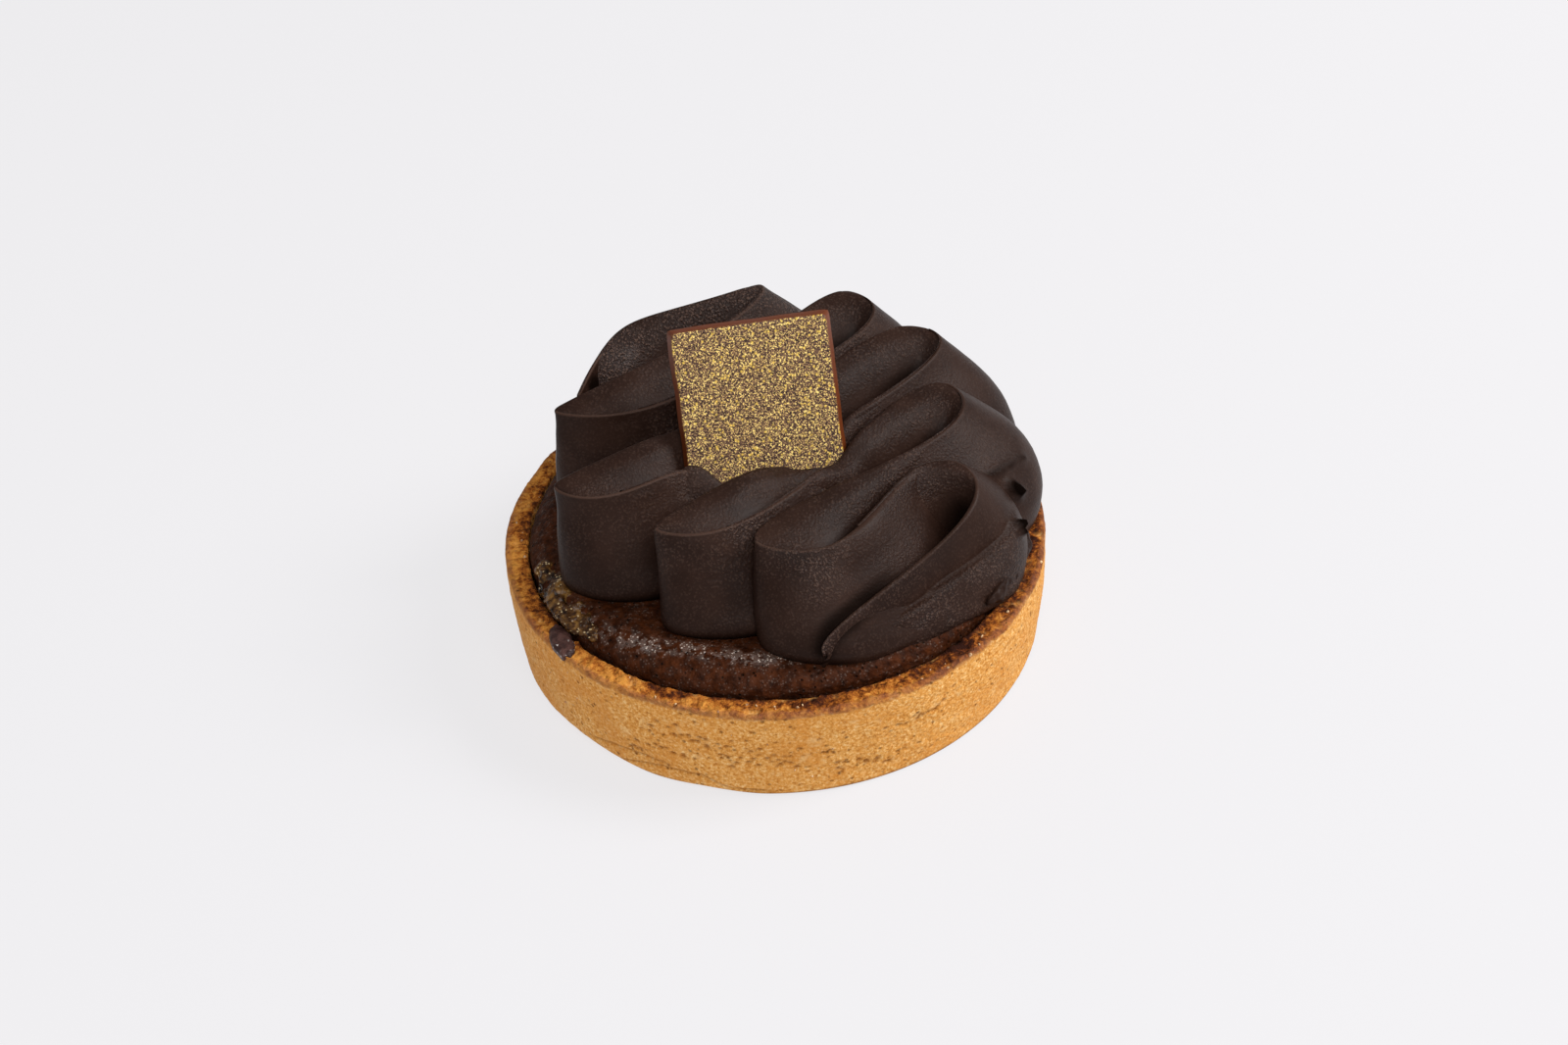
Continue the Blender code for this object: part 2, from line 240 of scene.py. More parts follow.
def declare(piece: bpy.types.Object, node: str | None = None) -> None:
    """Ride a piece on the tart and, where it stands for a node, hide that node.

    Args:
        piece: the finished piece.
        node: the solid that it stands for.
    """
    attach(piece, "root")
    if node:
        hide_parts(node)
    LOG.info("%s: %d faces", piece.name, len(piece.data.polygons))


# ---------------------------------------------------------------- finishes


class Graph:
    """Adds and links the nodes of one shader tree."""

    def __init__(self, tree: bpy.types.NodeTree) -> None:
        """Work on a tree."""
        self.tree = tree

    def feed(self, socket: bpy.types.NodeSocket, value) -> None:
        """Link a socket to another, or set its own value."""
        if isinstance(value, bpy.types.NodeSocket):
            self.tree.links.new(value, socket)
        elif isinstance(value, Tone):
            socket.default_value = value.linear()
        else:
            socket.default_value = value

    def node(self, kind: str, inputs: dict | None = None, **settings) -> bpy.types.Node:
        """Add a node.

        Args:
            kind: the node's type name.
            inputs: values or sockets by input name or number.
            settings: properties of the node.

        Returns:
            The new node.
        """
        made = self.tree.nodes.new(kind)
        for name, value in settings.items():
            setattr(made, name, value)
        for name, value in (inputs or {}).items():
            self.feed(made.inputs[name], value)
        return made

    def math(self, operation: str, first, second=0.0, clamp: bool = False) -> bpy.types.NodeSocket:
        """Return the result of a Math node."""
        return self.node("ShaderNodeMath", {0: first, 1: second}, operation=operation, use_clamp=clamp).outputs[0]

    def blend(self, factor, first, second, kind: str = "MIX") -> bpy.types.NodeSocket:
        """Return a blend of two colours."""
        mix = self.node("ShaderNodeMix", {0: factor}, data_type="RGBA", blend_type=kind)
        self.feed(mix.inputs[6], first)
        self.feed(mix.inputs[7], second)
        return mix.outputs[2]

    def rescale(self, value, low: float, high: float, new_low: float = 0.0, new_high: float = 1.0) -> bpy.types.NodeSocket:
        """Return a value eased from one range into another."""
        return self.node("ShaderNodeMapRange", {0: value, 1: low, 2: high, 3: new_low, 4: new_high},
                         interpolation_type="SMOOTHSTEP").outputs[0]

    def ramp(self, value, stops: tuple[tuple[float, Tone], ...]) -> bpy.types.NodeSocket:
        """Return a colour from a ramp of (position, tone)."""
        made = self.node("ShaderNodeValToRGB", {0: value})
        band = made.color_ramp
        while len(band.elements) < len(stops):
            band.elements.new(0.5)
        for element, (position, tone) in zip(band.elements, stops):
            element.position, element.color = position, tone.linear()
        return made.outputs[0]

    def noise(self, vector, size: float, detail: float = 2.0, rough: float = 0.5, warp: float = 0.0) -> bpy.types.NodeSocket:
        """Return noise whose bumps are about size millimetres wide on metre coordinates."""
        return self.node("ShaderNodeTexNoise", {"Vector": vector, "Scale": 1000.0 / size, "Detail": detail,
                                                "Roughness": rough, "Distortion": warp}).outputs[0]

    def cells(self, vector, size: float, feature: str = "F1", output: str = "Distance") -> bpy.types.NodeSocket:
        """Return a Voronoi output for cells of about size millimetres on metre coordinates."""
        return self.node("ShaderNodeTexVoronoi", {"Vector": vector, "Scale": 1000.0 / size}, feature=feature).outputs[output]

    def place(self) -> bpy.types.NodeSocket:
        """Return Object coordinates."""
        return self.node("ShaderNodeTexCoord").outputs["Object"]

    def value(self, name: str) -> bpy.types.NodeSocket:
        """Return a stored surface value."""
        return self.node("ShaderNodeAttribute", attribute_name=name).outputs["Fac"]

    def raised(self, height, strength: float, distance: float, below=None) -> bpy.types.NodeSocket:
        """Return a bumped normal; distance is in millimetres."""
        inputs = {"Height": height, "Strength": strength, "Distance": distance * MM}
        if below is not None:
            inputs["Normal"] = below
        return self.node("ShaderNodeBump", inputs).outputs[0]


def new_group(name: str, inputs: dict[str, float | None], outputs: dict[str, str]) -> tuple:
    """Start a shader node group.

    Args:
        name: its name.
        inputs: input names with their default values, None for a vector.
        outputs: output names with their socket types.

    Returns:
        The group's tree, a Graph for it, its input node and its output node.
    """
    tree = bpy.data.node_groups.new(name, "ShaderNodeTree")
    for label, value in inputs.items():
        kind = "NodeSocketVector" if value is None else "NodeSocketFloat"
        socket = tree.interface.new_socket(label, in_out="INPUT", socket_type=kind)
        if value is not None:
            socket.default_value = value
    for label, kind in outputs.items():
        tree.interface.new_socket(label, in_out="OUTPUT", socket_type=kind)
    return tree, Graph(tree), tree.nodes.new("NodeGroupInput"), tree.nodes.new("NodeGroupOutput")


class Effects:
    """Shader groups that several of the tart's finishes share."""

    def __init__(self) -> None:
        """Build the groups once."""
        self.blotch = self._blotch()
        self.pores = self._pores()
        self.sand = self._sand()
        self.glints = self._glints()

    def _blotch(self) -> bpy.types.NodeTree:
        """Soft patches, such as toasting or tempering marks."""
        tree, graph, given, out = new_group(
            "patches", {"Vector": None, "Scale": 300.0, "Low": 0.4, "High": 0.6}, {"Mask": "NodeSocketFloat"})
        soft = graph.node("ShaderNodeTexNoise", {"Vector": given.outputs["Vector"], "Scale": given.outputs["Scale"],
                                                 "Detail": 5.0, "Roughness": 0.6, "Distortion": 0.3}).outputs[0]
        eased = graph.node("ShaderNodeMapRange", {0: soft, 1: given.outputs["Low"], 2: given.outputs["High"]},
                           interpolation_type="SMOOTHSTEP").outputs[0]
        graph.feed(out.inputs[0], eased)
        return tree

    def _pores(self) -> bpy.types.NodeTree:
        """Small round holes, scattered thinly."""
        tree, graph, given, out = new_group(
            "pores", {"Vector": None, "Scale": 900.0, "Share": 0.3, "Width": 0.35}, {"Mask": "NodeSocketFloat"})
        cells = graph.node("ShaderNodeTexVoronoi", {"Vector": given.outputs["Vector"], "Scale": given.outputs["Scale"]})
        luck = graph.node("ShaderNodeTexWhiteNoise", {"Vector": cells.outputs["Position"]}).outputs["Value"]
        chosen = graph.math("LESS_THAN", luck, given.outputs["Share"])
        near = graph.node("ShaderNodeMapRange", {0: cells.outputs["Distance"], 1: given.outputs["Width"], 2: 0.0},
                          interpolation_type="SMOOTHSTEP").outputs[0]
        graph.feed(out.inputs[0], graph.math("MULTIPLY", near, chosen))
        return tree

    def _sand(self) -> bpy.types.NodeTree:
        """Height of a short, sandy crumb."""
        tree, graph, given, out = new_group(
            "sandy crumb", {"Vector": None, "Scale": 2500.0}, {"Height": "NodeSocketFloat"})
        fine = graph.node("ShaderNodeTexNoise", {"Vector": given.outputs["Vector"], "Scale": given.outputs["Scale"],
                                                 "Detail": 3.0, "Roughness": 0.65}).outputs[0]
        grains = graph.node("ShaderNodeTexVoronoi", {"Vector": given.outputs["Vector"],
                                                     "Scale": given.outputs["Scale"]}).outputs["Distance"]
        graph.feed(out.inputs[0], graph.math("SUBTRACT", fine, graph.math("MULTIPLY", grains, 0.45)))
        return tree

    def _glints(self) -> bpy.types.NodeTree:
        """Tiny bright specks, used as painted glints on glossy surfaces and as crystals."""
        tree, graph, given, out = new_group(
            "glints", {"Vector": None, "Scale": 2600.0, "Share": 0.12}, {"Mask": "NodeSocketFloat"})
        cells = graph.node("ShaderNodeTexVoronoi", {"Vector": given.outputs["Vector"], "Scale": given.outputs["Scale"]})
        luck = graph.node("ShaderNodeTexWhiteNoise", {"Vector": cells.outputs["Position"]}).outputs["Value"]
        chosen = graph.math("LESS_THAN", luck, given.outputs["Share"])
        near = graph.node("ShaderNodeMapRange", {0: cells.outputs["Distance"], 1: 0.42, 2: 0.2},
                          interpolation_type="SMOOTHSTEP").outputs[0]
        graph.feed(out.inputs[0], graph.math("MULTIPLY", near, chosen))
        return tree


class Finish:
    """Base of the tart's materials: a Principled BSDF in its own tree."""

    def __init__(self, name: str, effects: Effects) -> None:
        """Start an empty material.

        Args:
            name: the material's name.
            effects: the shared shader groups.
        """
        self.material = bpy.data.materials.new(name)
        self.material.use_nodes = True
        tree = self.material.node_tree
        self.graph = Graph(tree)
        self.shader = tree.nodes["Principled BSDF"]
        self.effects = effects

    def effect(self, group: bpy.types.NodeTree, vector, **values: float) -> bpy.types.NodeSocket:
        """Place a shared group with its own values and return its output."""
        made = self.graph.node("ShaderNodeGroup", node_tree=group)
        self.graph.feed(made.inputs["Vector"], vector)
        for name, value in values.items():
            self.graph.feed(made.inputs[name], value)
        return made.outputs[0]

    def surface(self, **sockets) -> bpy.types.Material:
        """Feed the shader's sockets, underscores standing for spaces, and return the material."""
        for name, value in sockets.items():
            self.graph.feed(self.shader.inputs[name.replace("_", " ")], value)
        return self.material


@dataclass(frozen=True)
class ShortcrustFinish:
    """Baked shortcrust: golden sandy side with painted shade in its holes, pits and fissures, and a rim toasted in
    patches, darkest along its inner edge.
    """

    grain: tuple = ((0.28, Tone(156, 88, 32)), (0.42, Tone(202, 136, 59)), (0.54, Tone(223, 162, 86)),
                    (0.7, Tone(244, 208, 148)))
    warm: Tone = Tone(206, 132, 52)
    flour: Tone = Tone(238, 200, 140)
    # painted shade for holes, pits and fissures
    pore_shade: Tone = Tone(112, 58, 16)
    foot: Tone = Tone(120, 70, 30)
    toast: tuple = ((0.34, Tone(44, 17, 7)), (0.45, Tone(92, 43, 13)), (0.54, Tone(158, 89, 28)),
                    (0.68, Tone(208, 140, 60)))
    edge_line: Tone = Tone(132, 82, 58)
    rim_height: float = 16.4
    rim_middle: float = 37.8
    paler_left: float = 2.2
    rim_outer: float = 39.2

    def build(self, effects: Effects) -> bpy.types.Material:
        """Return the material."""
        finish = Finish("shortcrust", effects)
        graph = finish.graph
        place = graph.place()
        parts = graph.node("ShaderNodeSeparateXYZ", {0: place})
        height = graph.math("MULTIPLY", parts.outputs["Z"], 1000.0)
        flat = graph.node("ShaderNodeCombineXYZ", {0: parts.outputs["X"], 1: parts.outputs["Y"]}).outputs[0]
        length = graph.node("ShaderNodeVectorMath", {0: flat}, operation="LENGTH").outputs["Value"]
        radius = graph.math("MULTIPLY", length, 1000.0)

        grains = graph.noise(place, 0.45, 4.0, 0.7)
        side = graph.ramp(grains, self.grain)
        warm = finish.effect(effects.blotch, place, Scale=120.0, Low=0.4, High=0.68)
        side = graph.blend(graph.math("MULTIPLY", warm, 0.5), side, self.warm)
        floury = finish.effect(effects.blotch, place, Scale=420.0, Low=0.56, High=0.74)
        side = graph.blend(graph.math("MULTIPLY", floury, 0.45), side, self.flour)
        holes = finish.effect(effects.pores, place, Scale=1100.0, Share=0.13, Width=0.4)
        # painted shade in the holes
        side = graph.blend(graph.math("MULTIPLY", holes, 0.7), side, self.pore_shade)
        # painted shade in the pits and fissures that the mask marks
        side = graph.blend(graph.value("mask"), side, self.pore_shade)
        low = graph.rescale(graph.math("SUBTRACT", height, graph.noise(place, 3.0, 3.0)), 0.4, -0.4)
        side = graph.blend(graph.math("MULTIPLY", low, 0.8), side, self.foot)

        inward = graph.math("MULTIPLY", graph.math("SUBTRACT", radius, self.rim_middle), 0.045)
        broad = graph.math("MULTIPLY", graph.math("SUBTRACT", graph.noise(place, 9.0, 2.0), 0.5), 0.5)
        aside = graph.math("MULTIPLY", parts.outputs["X"], self.paler_left)
        mottle = graph.math("ADD", graph.noise(place, 1.25, 5.0, 0.78, 0.2), graph.math("ADD", inward, broad))
        mottle = graph.math("SUBTRACT", mottle, aside)
        rim = graph.ramp(mottle, self.toast)
        ragged = graph.math("MULTIPLY", graph.math("SUBTRACT", graph.noise(place, 3.0, 3.0), 0.5), 1.6)
        top = graph.rescale(graph.math("ADD", height, ragged), self.rim_height - 1.1, self.rim_height - 0.35)
        colour = graph.blend(top, side, rim)
        near_edge = graph.rescale(graph.math("ADD", radius, graph.math("MULTIPLY", ragged, 0.4)),
                                  self.rim_outer - 0.6, self.rim_outer + 0.1)
        line = graph.math("MULTIPLY", near_edge, graph.rescale(height, self.rim_height - 1.25, self.rim_height - 0.7))
        broken = finish.effect(effects.blotch, place, Scale=700.0, Low=0.2, High=0.62)
        colour = graph.blend(graph.math("MULTIPLY", line, graph.math("MULTIPLY", broken, 0.62)), colour, self.edge_line)

        sand = finish.effect(effects.sand, place, Scale=2100.0)
        coarse = finish.effect(effects.sand, place, Scale=900.0)
        bump = graph.raised(graph.math("MULTIPLY", coarse, graph.rescale(top, 0.0, 1.0, 1.0, 2.2)), 0.8, 0.28)
        bump = graph.raised(sand, 0.8, 0.16, bump)
        bump = graph.raised(graph.math("MULTIPLY", holes, -1.0), 0.8, 0.35, bump)
        return finish.surface(Base_Color=colour, Roughness=0.8, Specular_IOR_Level=0.12, Normal=bump)


@dataclass(frozen=True)
class BakedChocolateFinish:
    """Baked chocolate filling: reddish dark crumb with painted shade in its pores, glistening on its raised ring, which
    is smoother and shinier and carries painted sheen and painted glints.
    """

    dark: Tone = Tone(34, 12, 3)
    light: Tone = Tone(74, 36, 15)
    # painted shade in pores
    pore_shade: Tone = Tone(14, 5, 2)
    # painted sheen on the glossy crest
    wet_sheen: Tone = Tone(118, 96, 84)
    # painted glints
    glint: Tone = Tone(210, 192, 178)

    def build(self, effects: Effects) -> bpy.types.Material:
        """Return the material."""
        finish = Finish("baked_chocolate", effects)
        graph = finish.graph
        place = graph.place()
        mottle = finish.effect(effects.blotch, place, Scale=800.0, Low=0.28, High=0.74)
        colour = graph.blend(mottle, self.dark, self.light)
        holes = finish.effect(effects.pores, place, Scale=1500.0, Share=0.2, Width=0.4)
        # painted shade in the pores
        colour = graph.blend(holes, colour, self.pore_shade)
        wet_sheen = graph.value("mask")
        patches = finish.effect(effects.blotch, place, Scale=700.0, Low=0.42, High=0.56)
        wet_sheen = graph.math("MULTIPLY", wet_sheen, patches)
        # painted sheen over the glossy crest
        colour = graph.blend(graph.math("MULTIPLY", wet_sheen, 0.42), colour, self.wet_sheen)
        specks = finish.effect(effects.glints, place, Scale=2600.0, Share=0.7)
        # painted glints on the glossy crest
        colour = graph.blend(graph.math("MULTIPLY", specks, wet_sheen), colour, self.glint)
        rough = graph.rescale(wet_sheen, 0.0, 1.0, 0.6, 0.24)
        shine = graph.rescale(wet_sheen, 0.0, 1.0, 0.05, 1.0)
        sand = finish.effect(effects.sand, place, Scale=1800.0)
        bump = graph.raised(sand, 0.9, 0.24)
        bump = graph.raised(graph.math("MULTIPLY", holes, -1.0), 0.9, 0.4, bump)
        return finish.surface(Base_Color=colour, Roughness=rough, Specular_IOR_Level=shine, Normal=bump)


@dataclass(frozen=True)
class GanacheFinish:
    """Piped ganache: satin and very dark, with a fine pebbled grain, painted highlight specks on its crests, a painted
    highlight line along its thin lip, and painted shade in its creases, gaps and tears.
    """

    dark: Tone = Tone(35, 20, 14)
    light: Tone = Tone(46, 29, 22)
    # painted shade for creases, gaps and tears
    crease_shade: Tone = Tone(12, 7, 5)
    # painted highlight on the crests of the pebbled grain
    speck_highlight: Tone = Tone(86, 65, 55)
    # painted highlight along the lip's edge
    lip: Tone = Tone(84, 62, 52)
    lip_place: float = 16.0

    def build(self, effects: Effects) -> bpy.types.Material:
        """Return the material."""
        finish = Finish("ganache", effects)
        graph = finish.graph
        place = graph.place()
        run = graph.node("ShaderNodeUVMap", uv_map="run").outputs[0]
        stretched = graph.node("ShaderNodeMapping", {"Vector": run, "Scale": (0.05, 1.0, 1.0)}).outputs[0]
        streaks = graph.node("ShaderNodeTexNoise", {"Vector": stretched, "Scale": 2.2, "Detail": 3.0}).outputs[0]
        tint = finish.effect(effects.blotch, place, Scale=120.0, Low=0.35, High=0.7)
        colour = graph.blend(tint, self.dark, self.light)
        patches = finish.effect(effects.blotch, place, Scale=170.0, Low=0.36, High=0.64)
        grainy = graph.math("MULTIPLY", graph.math("MAXIMUM", graph.value("mask"), 0.16),
                            graph.math("ADD", graph.math("MULTIPLY", patches, 0.6), 0.4))
        pebbles = graph.math("SUBTRACT", graph.noise(place, 0.28, 2.0, 0.6),
                             graph.math("MULTIPLY", graph.cells(place, 0.42), 0.5))
        bump = graph.raised(streaks, 0.06, 0.4)
        bump = graph.raised(graph.math("MULTIPLY", pebbles, grainy), 1.0, 0.42, bump)
        # painted highlight specks on the grain's crests
        crests = graph.rescale(pebbles, 0.28, 0.42)
        colour = graph.blend(graph.math("MULTIPLY", crests, graph.math("MULTIPLY", grainy, 1.05)), colour, self.speck_highlight)
        # painted highlight line along the lip, stronger towards the left
        across = graph.node("ShaderNodeSeparateXYZ", {0: run}).outputs["Y"]
        beside = graph.math("ABSOLUTE", graph.math("SUBTRACT", across, self.lip_place))
        ahead = graph.node("ShaderNodeSeparateXYZ", {0: place}).outputs["X"]
        line = graph.math("MULTIPLY", graph.rescale(beside, 0.4, 0.1), graph.rescale(ahead, 0.012, -0.008, 0.18, 0.5))
        colour = graph.blend(line, colour, self.lip)
        # painted shade wherever the mask is negative; it also dims the shine there
        crease_shade = graph.math("MULTIPLY", graph.value("mask"), -0.8, clamp=True)
        colour = graph.blend(crease_shade, colour, self.crease_shade)
        wet_sheen = graph.rescale(graph.value("mask"), 1.0, 1.8, 0.0, 0.35)
        shine = graph.math("ADD", graph.rescale(grainy, 0.1, 1.0, 0.1, 0.22), wet_sheen)
        shine = graph.math("MULTIPLY", shine, graph.math("SUBTRACT", 1.0, crease_shade))
        return finish.surface(Base_Color=colour, Roughness=0.44, Specular_IOR_Level=shine, Normal=bump)


@dataclass(frozen=True)
class GoldDustFinish:
    """Milk-brown chocolate sprayed with gold dust that stands in short wormy flecks; bare at its edges."""

    dust: tuple = ((0.39, Tone(40, 22, 14)), (0.47, Tone(88, 60, 46)), (0.55, Tone(128, 94, 72)),
                   (0.59, Tone(196, 154, 86)), (0.65, Tone(255, 228, 134)))
    gold: Tone = Tone(255, 212, 84)
    edge: Tone = Tone(98, 45, 15)

    def build(self, effects: Effects) -> bpy.types.Material:
        """Return the material."""
        finish = Finish("gold_dust", effects)
        graph = finish.graph
        place = graph.place()
        worms = graph.noise(place, 0.22, 1.5, 0.55, 0.8)
        dust = graph.ramp(worms, self.dust)
        spots = finish.effect(effects.pores, place, Scale=2100.0, Share=0.2, Width=0.6)
        dust = graph.blend(graph.math("MULTIPLY", spots, 0.85), dust, self.gold)
        colour = graph.blend(graph.value("mask"), self.edge, dust)
        bump = graph.raised(worms, 0.4, 0.08)
        return finish.surface(Base_Color=colour, Roughness=0.45, Specular_IOR_Level=0.2, Normal=bump)


@dataclass(frozen=True)
class NutCreamFinish:
    """Boiled-out nut cream: olive brown and gold, wet, with painted glints and painted shade in its pits."""

    dark: Tone = Tone(20, 9, 3)
    olive: Tone = Tone(66, 40, 18)
    gold: Tone = Tone(126, 90, 44)
    glint: Tone = Tone(206, 180, 136)

    def build(self, effects: Effects) -> bpy.types.Material:
        """Return the material."""
        finish = Finish("nut_cream", effects)
        graph = finish.graph
        place = graph.place()
        mottle = graph.noise(place, 1.3, 4.0, 0.62, 0.5)
        colour = graph.ramp(mottle, ((0.36, self.dark), (0.5, self.olive), (0.66, self.gold)))
        # painted shade in the pits that the mask marks
        colour = graph.blend(graph.value("mask"), colour, self.dark)
        # painted glints
        specks = finish.effect(effects.glints, place, Scale=2400.0, Share=0.3)
        colour = graph.blend(graph.math("MULTIPLY", specks, 0.8), colour, self.glint)
        bump = graph.raised(finish.effect(effects.sand, place, Scale=1000.0), 0.6, 0.3)
        return finish.surface(Base_Color=colour, Roughness=0.24, Specular_IOR_Level=0.2, Normal=bump)


@dataclass(frozen=True)
class BurntSpotFinish:
    """Dried chocolate on the rim: purplish grey-brown with a few crystals."""

    body: Tone = Tone(52, 30, 26)
    light: Tone = Tone(84, 56, 50)
    crystal: Tone = Tone(206, 196, 190)

    def build(self, effects: Effects) -> bpy.types.Material:
        """Return the material."""
        finish = Finish("burnt_spot", effects)
        graph = finish.graph
        place = graph.place()
        mottle = finish.effect(effects.blotch, place, Scale=700.0, Low=0.4, High=0.62)
        colour = graph.blend(mottle, self.body, self.light)
        specks = finish.effect(effects.glints, place, Scale=2400.0, Share=0.22)
        colour = graph.blend(graph.math("MULTIPLY", specks, graph.value("mask")), colour, self.crystal)
        bump = graph.raised(finish.effect(effects.sand, place, Scale=1700.0), 0.8, 0.2)
        return finish.surface(Base_Color=colour, Roughness=0.45, Specular_IOR_Level=0.25, Normal=bump)


@dataclass(frozen=True)
class CrumbFinish:
    """Loose crumbs and sugar grains; each grain has its own shade."""

    pale: Tone = Tone(232, 196, 148)
    brown: Tone = Tone(150, 92, 44)

    def build(self, name: str, effects: Effects) -> bpy.types.Material:
        """Return the material.

        Args:
            name: the material's name.
            effects: the shared shader groups.
        """
        finish = Finish(name, effects)
        graph = finish.graph
        place = graph.place()
        shade = finish.effect(effects.blotch, place, Scale=800.0, Low=0.38, High=0.62)
        colour = graph.blend(shade, self.pale, self.brown)
        bump = graph.raised(finish.effect(effects.sand, place, Scale=3500.0), 0.5, 0.06)
        return finish.surface(Base_Color=colour, Roughness=0.55, Specular_IOR_Level=0.45, Normal=bump)


# ---------------------------------------------------------------- crust


@dataclass
class CrustCase:
    """Shortcrust case with a bumpy side, small fissures and a rough toasted rim."""

    rim_radius: float = 40.0
    base_radius: float = 39.3
    height: float = 16.4
    rim_width: float = 4.0
    edge_round: float = 0.9
    floor: float = 4.0
    segments: int = 960
    pit_count: int = 150
    pit_rows: tuple = (((-121, 10.0), (-112, 11.0), (-105, 10.2), (-95.5, 9.2), (-88.5, 8.2), (-80, 8.6)),
                       ((-124, 6.4), (-104, 7.4), (-84, 5.2), (-73, 4.0), (-62, 4.4)), ((-70, 9.6), (-54, 10.6)))
    creases: tuple = (((-128.5, 0.5), (-117.5, 3.0), (-108, 3.2), (-102.5, 1.0), (-92, 0.8)),
                      ((-136, 2.4), (-124, 4.2), (-114, 3.8)))
    noise: SolidNoise = field(default_factory=lambda: SolidNoise(11))

    def outline(self) -> np.ndarray:
        """Return the profile as rows of radius and height, closely spaced where it shows."""
        r, inner, top = self.edge_round, self.rim_radius - self.rim_width, self.height
        wall_z = np.linspace(1.4, top - r, 60)
        wall = np.stack([np.interp(wall_z, (1.4, 8.0, 12.5, top - r), (self.base_radius, self.rim_radius - 0.25,
                                                                     self.rim_radius, self.rim_radius)), wall_z], axis=1)
        turn = np.radians(np.linspace(0, 90, 7))[1:]
        outer = np.stack([self.rim_radius - r + r * np.cos(turn), top - r + r * np.sin(turn)], axis=1)
        flat = np.stack([np.linspace(self.rim_radius - r, inner + r, 9)[1:], np.full(8, top)], axis=1)
        inside = np.stack([inner + r - r * np.sin(turn), top - r + r * np.cos(turn)], axis=1)
        foot = np.array([(10.0, 0.0), (25.0, 0.0), (35.0, 0.0), (37.6, 0.0), (38.3, 0.02), (38.8, 0.2), (39.1, 0.55),
                         (39.25, 0.95)])
        down = np.array([(inner, top - 1.6), (inner, top - 2.6), (inner, top - 5.0), (inner, self.floor + 1.5),
                         (inner - 1.5, self.floor), (15.0, self.floor)])
        return np.concatenate([foot, wall, outer, flat, inside, down])

    def relief(self, points: np.ndarray, angles: np.ndarray, profile: np.ndarray) -> tuple[np.ndarray, np.ndarray]:
        """Return how far each point is sunk along the wall's normal, and how much painted shade darkens it in pits and
        fissures.

        Args:
            points: grid of (ring, segment, xyz).
            angles: angle of each segment, in degrees.
            profile: radius and height of each ring.

        Returns:
            Two arrays of (ring, segment).
        """
        broad = 0.24 * self.noise.at(points, 14.0) + 0.13 * self.noise.at(points, 5.5)
        fine = 0.06 * self.noise.at(points, 1.9, 2) + 0.04 * self.noise.at(points, 0.8)
        sunk = 0.3 - broad - fine
        dark = np.zeros_like(sunk)
        rng = np.random.default_rng(5)
        arc = np.radians(angles) * self.rim_radius
        level = profile[:, 1:2]
        pits = [(rng.uniform(-180, 180), rng.uniform(1.0, 15.0), rng.uniform(0.14, 0.26), rng.uniform(0.1, 0.22))
                for _ in range(self.pit_count)]
        for row in self.pit_rows:
            spots, heights = np.array(row).T
            for angle in np.arange(spots[0], spots[-1], 0.55):
                if rng.random() < 0.55:
                    pits.append((angle + rng.normal(0, 0.4), np.interp(angle, spots, heights) + rng.normal(0, 0.75),
                                 rng.uniform(0.1, 0.34), rng.uniform(0.14, 0.4)))
        for angle, height, width, deep in pits:
            near = np.abs(arc - math.radians(angle) * self.rim_radius) < 1.4
            across = (arc[near] - math.radians(angle) * self.rim_radius)[None, :]
            reach = (across / (1.5 * width)) ** 2 + ((level - height) / width) ** 2
            dent = np.exp(-reach ** 1.5) * (profile[:, 0:1] > 39.0)
            sunk[:, near] += deep * dent
            # painted shade in the pit, darker where the pit is deeper
            dark[:, near] = np.maximum(dark[:, near], 0.75 * dent * min(1.0, deep / 0.2))
        for line in self.creases:
            spots, heights = np.array(line).T
            sway = 0.25 * self.noise.at(points, 2.4)
            off = (level - np.interp(angles, spots, heights)[None, :] + sway) / 0.24
            open_here = smooth((angles - spots[0]) / 3.0) * smooth((spots[-1] - angles) / 3.0)
            groove = np.exp(-off ** 2) * open_here[None, :]
            sunk += 0.26 * groove
            # painted shade along the fissure
            dark = np.maximum(dark, 0.45 * groove)
        return sunk, dark

    def build(self, finish: bpy.types.Material) -> bpy.types.Object:
        """Build the case and return its object."""
        profile = self.outline()
        angles = np.linspace(-180.0, 180.0, self.segments, endpoint=False)
        turn = np.radians(angles)
        grid = np.stack([profile[:, :1] * np.cos(turn), profile[:, :1] * np.sin(turn),
                         np.repeat(profile[:, 1:], self.segments, axis=1)], axis=-1)
        normals = grid_normals(grid, True)
        outward = unit(np.stack([grid[..., 0], grid[..., 1], np.zeros(grid.shape[:2])], axis=-1))
        facing = np.sign((normals[20] * outward[20]).sum(axis=-1).mean())
        sunk, dark = self.relief(grid, angles, profile)
        shown = smooth((profile[:, 1:2] - 0.05) / 1.0) * (profile[:, :1] > self.rim_radius - self.rim_width - 0.1)
        on_rim = smooth((profile[:, 1:2] - self.height + 0.6) / 0.5) * (profile[:, :1] < self.rim_radius - 0.3)
        rough_rim = 0.3 * self.noise.at(grid, 2.1, 2) + 0.2 * self.noise.at(grid, 0.9) - 0.1
        depth = sunk * (1 - on_rim) + (0.16 - rough_rim) * on_rim
        moved = grid - facing * normals * (depth * shown)[..., None]
        lift = 0.9 * smooth(1 - np.abs(angles + 138) / 26) + 0.5 * smooth(1 - np.abs(angles + 108) / 14)
        near_foot = smooth((profile[:, :1] - 36.5) / 1.6) * smooth(1 - profile[:, 1:2] / 2.6)
        moved[..., 2] += lift * near_foot
        body = PieceMesh()
        rows = len(profile)
        faces = grid_faces(rows, self.segments)
        faces.append(tuple(range(self.segments)))
        faces.append(tuple(range((rows - 1) * self.segments, rows * self.segments))[::-1])
        # the mask carries the painted shade of the pits and fissures to the finish
        body.add(moved, faces, mask=dark * (1 - on_rim))
        return body.make("crust_case", finish)


# ---------------------------------------------------------------- filling


